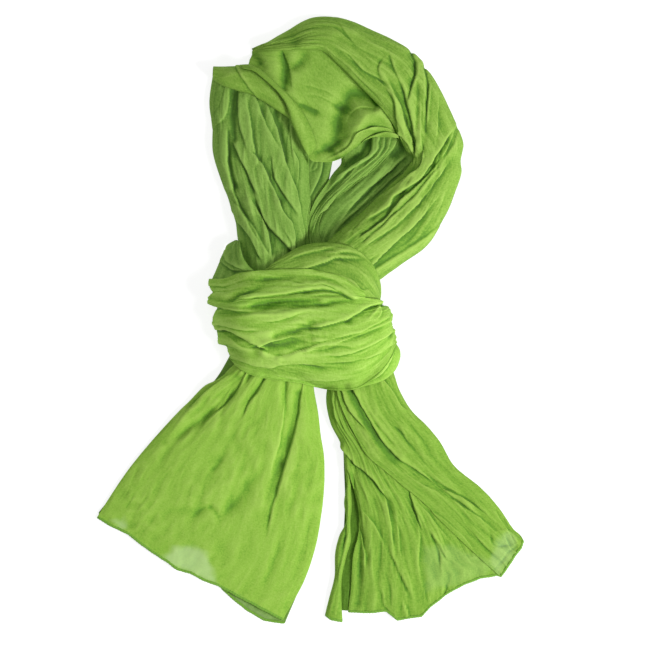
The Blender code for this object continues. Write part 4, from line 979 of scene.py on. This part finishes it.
def roll_hem(name, edge, way, lit_and_shaded_cloths, seed):
    """The rolled hem along the last points of a sheet, with the twist that rolling leaves."""
    length = running(np.linalg.norm(np.diff(edge, axis=0), axis=1))
    at = np.linspace(0, length[-1], int(length[-1] / HEM_STEP) + 2)
    line = np.stack([np.interp(at, length, edge[:, k]) for k in range(3)], -1)
    line[:, 2] = blurred(line[:, 2][:, None].repeat(3, 1), 3)[:, 1]
    out = np.stack([np.interp(at, length, way[:, k]) for k in (0, 1)], -1)
    out /= np.maximum(np.hypot(out[:, 0], out[:, 1]), 1e-6)[:, None]
    turn, place = np.meshgrid(np.linspace(0, 2 * np.pi, HEM_SIDES, endpoint=False), at)
    twist = 1 + 0.1 * np.sin(place * 2 * np.pi / HEM_TWIST + turn) + 0.12 * noise(place / 9, turn * 0, seed)
    ends = np.sqrt(np.clip(np.minimum(place, length[-1] - place) / HEM_ROUND, 0.04, 1))
    radius = HEM_ROUND * twist * ends
    points = line[:, None, :] - np.array([0, 0, HEM_SINK])
    points = points + np.concatenate([out[:, None, :] * (np.cos(turn) * radius)[..., None],
                                      (np.sin(turn) * radius * HEM_FLAT)[..., None]], -1)
    points[..., :2] += (out * 0.5 * noise(at / 12, at * 0, seed + 3)[:, None])[:, None, :]
    points[..., 2] = np.maximum(points[..., 2], FLOOR)
    uv = np.stack([turn.ravel() * HEM_ROUND, place.ravel()], -1)
    obj = finished(name + "_hem_roll", points.reshape(-1, 3), tube_faces(*turn.shape),
                   lit_and_shaded_cloths["hem"], uv, plain(turn.size, 0.5))
    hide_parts(name + "_hem")
    return obj


def lay_core(name, heap, lit_and_shaded_cloths):
    """The rounded roll of the hidden turns, which the sheets lie on."""
    x, y, length, width, turn, height = CORES[name]
    turn = np.radians(turn)
    angles = np.linspace(0, 2 * np.pi, CORE_SIDES)
    up = np.linspace(0, CORE_TOP, CORE_RINGS)[:, None]
    size = np.sqrt(1 - up ** CORE_ROUND)
    a, b = np.cos(angles) * length * size * SQUARE, np.sin(angles) * width * size * SQUARE
    centre = to_mm([x, y])
    rise = np.broadcast_to(up * height, a.shape)
    grid = np.stack([centre[0] + a * np.cos(turn) - b * np.sin(turn),
                     centre[1] + a * np.sin(turn) + b * np.cos(turn), rise], -1)
    top = grid[-1:].copy()
    top[..., :2] = centre
    heap.add(grid, 5)
    heap.add(np.concatenate([grid[-1:], top]), 60)
    roll = grid[:, :-1].copy()
    wave = CORE_SIZE + CORE_RIB * np.sin(CORE_WAVES * angles[:-1] + 5 * up)
    roll[..., :2] = centre + (roll[..., :2] - centre) * wave[..., None]
    roll[..., 2] = FLOOR + CORE_SIZE * roll[..., 2]
    uv = np.stack(np.broadcast_arrays(angles[:-1] * length * SQUARE, up * height), -1).reshape(-1, 2)
    # The turns take a shaded copy and a low tone: painted shade, as they show only down gaps between
    # stretches.
    obj = finished(name + "_turns", roll.reshape(-1, 3), tube_faces(*wave.shape, turned=True),
                   lit_and_shaded_cloths["deep"], uv, plain(wave.size, 0.3))
    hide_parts(name)


def colour(red, green, blue):
    """A shader colour from red, green and blue as a screen shows them, 0 to 255."""
    values = [x / 255 for x in (red, green, blue)]
    return tuple(x / 12.92 if x <= 0.04045 else ((x + 0.055) / 1.055) ** 2.4 for x in values) + (1,)


def give(node, **values):
    """Sets inputs of a shader node, by their names with _ for each space."""
    for name, value in values.items():
        node.inputs[name.replace("_", " ")].default_value = value


def voile_weave():
    """Node group of the cloth's surface: painted shade in its creases and painted light on its crests, the
    painted pale surface where it lies single, mottling and threads.
    """
    group = bpy.data.node_groups.new("voile weave", "ShaderNodeTree")
    for way, kind, names in (("INPUT", "Color", ("Deep", "Rich", "Middle", "Light", "Sheer")),
                             ("INPUT", "Float", ("Mottle",)),
                             ("OUTPUT", "Color", ("Color",)), ("OUTPUT", "Float", ("Height",))):
        for name in names:
            group.interface.new_socket(name, in_out=way, socket_type="NodeSocket" + kind)
    nodes, links = group.nodes, group.links
    given, out = nodes.new("NodeGroupInput").outputs, nodes.new("NodeGroupOutput").inputs
    uv = nodes.new("ShaderNodeUVMap")
    uv.uv_map = "cloth"

    def attribute(name):
        node = nodes.new("ShaderNodeAttribute")
        node.attribute_name = name
        return node.outputs["Fac"]

    def texture(repeats, detail):
        place = nodes.new("ShaderNodeMapping")
        give(place, Scale=(*repeats, 1))
        links.new(uv.outputs["UV"], place.inputs["Vector"])
        grain = nodes.new("ShaderNodeTexNoise")
        give(grain, Scale=1, Detail=detail, Roughness=0.5)
        links.new(place.outputs["Vector"], grain.inputs["Vector"])
        return grain.outputs["Fac"]

    def threads(direction):
        wave = nodes.new("ShaderNodeTexWave")
        wave.bands_direction = direction
        give(wave, Scale=THREADS, Distortion=0.6)
        links.new(uv.outputs["UV"], wave.inputs["Vector"])
        return wave.outputs["Fac"]

    def calc(kind, *values):
        node = nodes.new("ShaderNodeMath")
        node.operation = kind
        for k, value in enumerate(values):
            if isinstance(value, (int, float)):
                node.inputs[k].default_value = value
            else:
                links.new(value, node.inputs[k])
        return node.outputs[0]

    def blend(share, a, b):
        node = nodes.new("ShaderNodeMix")
        node.data_type = "RGBA"
        for k, value in ((0, share), (6, a), (7, b)):
            links.new(value, node.inputs[k])
        return node.outputs[2]

    slub = calc("ADD", texture(WARP, 2), texture(WARP[::-1], 2))
    # Painted shade and light: the fold and broad values take the colour down towards Deep and Rich in hollows
    # and up towards Light on crests; mottling and slubs vary it at random.
    tone = calc("MULTIPLY_ADD", attribute("broad"), 1.0, -0.5)
    tone = calc("ADD", attribute("fold"), tone)
    patch = calc("SUBTRACT", texture(MOTTLE_RUN, 3), 0.5)
    tone = calc("ADD", tone, calc("MULTIPLY", patch, given["Mottle"]))
    tone = calc("ADD", tone, calc("MULTIPLY_ADD", slub, 0.45, -0.45))
    dense = given["Deep"]
    for shade, start, end in (("Rich", -0.1, 0.22), ("Middle", 0.22, 0.45), ("Light", 0.45, 0.8)):
        span = nodes.new("ShaderNodeMapRange")
        give(span, From_Min=start, From_Max=end)
        links.new(tone, span.inputs["Value"])
        dense = blend(span.outputs["Result"], dense, given[shade])
    # Painted see-through: where the cloth lies single, its colour goes toward the tone of the pale surface.
    links.new(blend(calc("MULTIPLY", attribute("sheer"), 0.75), dense, given["Sheer"]), out["Color"])
    weave = calc("MULTIPLY", threads("X"), threads("Y"))
    links.new(calc("ADD", calc("MULTIPLY", slub, 0.7), calc("MULTIPLY", weave, 0.25)), out["Height"])
    return group


def cloth_material(kind, weave):
    """Matt cotton voile that lets some light through, in a lit or shaded copy of its green, with painted
    shade in its creases and painted light on its crests.
    """
    mottle, *shades = LIT_AND_SHADED_TONES[kind]
    # Tones from painted shade in creases (deep, rich) to painted light on crests (light), and the painted
    # pale surface seen through (single).
    deep, rich, middle, light, single = (colour(*shade) for shade in (*shades, SEE_THROUGH_TONE))
    material = bpy.data.materials.new("voile_" + kind)
    material.use_nodes = True
    nodes, links = material.node_tree.nodes, material.node_tree.links
    shader, out = nodes["Principled BSDF"], nodes["Material Output"]
    group = nodes.new("ShaderNodeGroup")
    group.node_tree = weave
    give(group, Deep=deep, Rich=rich, Middle=middle, Light=light, Sheer=single, Mottle=mottle)
    bump = nodes.new("ShaderNodeBump")
    give(bump, Strength=0.35, Distance=0.0004)
    give(shader, Roughness=0.88, Specular_IOR_Level=0.2)
    give(shader, Sheen_Weight=0.1, Sheen_Tint=middle, Sheen_Roughness=0.5)
    through, both = nodes.new("ShaderNodeBsdfTranslucent"), nodes.new("ShaderNodeMixShader")
    give(both, Fac=0.25)
    for start, end in ((group.outputs["Color"], shader.inputs["Base Color"]),
                       (group.outputs["Height"], bump.inputs["Height"]),
                       (bump.outputs["Normal"], shader.inputs["Normal"]),
                       (group.outputs["Color"], through.inputs["Color"]),
                       (bump.outputs["Normal"], through.inputs["Normal"]),
                       (shader.outputs["BSDF"], both.inputs[1]),
                       (through.outputs["BSDF"], both.inputs[2]),
                       (both.outputs["Shader"], out.inputs["Surface"])):
        links.new(start, end)
    return material


def make_floor():
    """The pale surface that the scarf lies on."""
    bpy.ops.mesh.primitive_plane_add(size=FLOOR_SIDE, location=(0, 0, 0))
    floor = bpy.context.object
    floor.name = "table"
    material = bpy.data.materials.new("pale_table")
    material.use_nodes = True
    give(material.node_tree.nodes["Principled BSDF"], Base_Color=(*[FLOOR_TONE] * 3, 1), Roughness=0.9,
         Emission_Color=(1, 1, 1, 1), Emission_Strength=FLOOR_GLOW)
    floor.data.materials.append(material)


def make_light(name, place, power, size):
    """A square soft light that faces the scarf."""
    data = bpy.data.lights.new(name, "AREA")
    data.energy, data.size = power, size
    light = bpy.data.objects.new(name, data)
    light.location = place
    light.rotation_euler = (-Vector(place)).to_track_quat("-Z", "Y").to_euler()
    bpy.context.scene.collection.objects.link(light)


def make_studio():
    """Camera straight over the scarf, with soft light from the lower right and from all round."""
    scene = bpy.context.scene
    data = bpy.data.cameras.new("camera")
    camera = bpy.data.objects.new("camera", data)
    camera.location = (*to_mm((PLAN_SIDE / 2, PLAN_SIDE / 2)) / 1000, CAMERA_UP)
    data.sensor_width = data.sensor_height = SENSOR
    data.lens = SENSOR * (CAMERA_UP - SCARF_UP) / (PLAN_SIDE * SQUARE / 1000)
    data.clip_end = 50
    scene.collection.objects.link(camera)
    scene.camera = camera
    for name, light in LIGHTS.items():
        make_light(name, *light)
    world = bpy.data.worlds.new("studio")
    world.use_nodes = True
    give(world.node_tree.nodes["Background"], Color=(1, 1, 1, 1), Strength=SKY)
    scene.world = world
    scene.view_settings.view_transform = "Standard"
    scene.view_settings.look = "None"


def main():
    """Lays the hidden turns, then every stretch in its order, and sets up the floor, camera and light."""
    weave = voile_weave()
    # One material for each lit or shaded copy of the voile's green; the darker ones are painted shade.
    lit_and_shaded_cloths = {kind: cloth_material(kind, weave) for kind in LIT_AND_SHADED_TONES}
    heap = HeightMap()
    for name in CORES:
        lay_core(name, heap, lit_and_shaded_cloths)
    for number, (name, piece) in enumerate(PIECES.items()):
        lay_sheet(name, piece, heap, lit_and_shaded_cloths, 10 * number)
    make_floor()
    make_studio()


main()
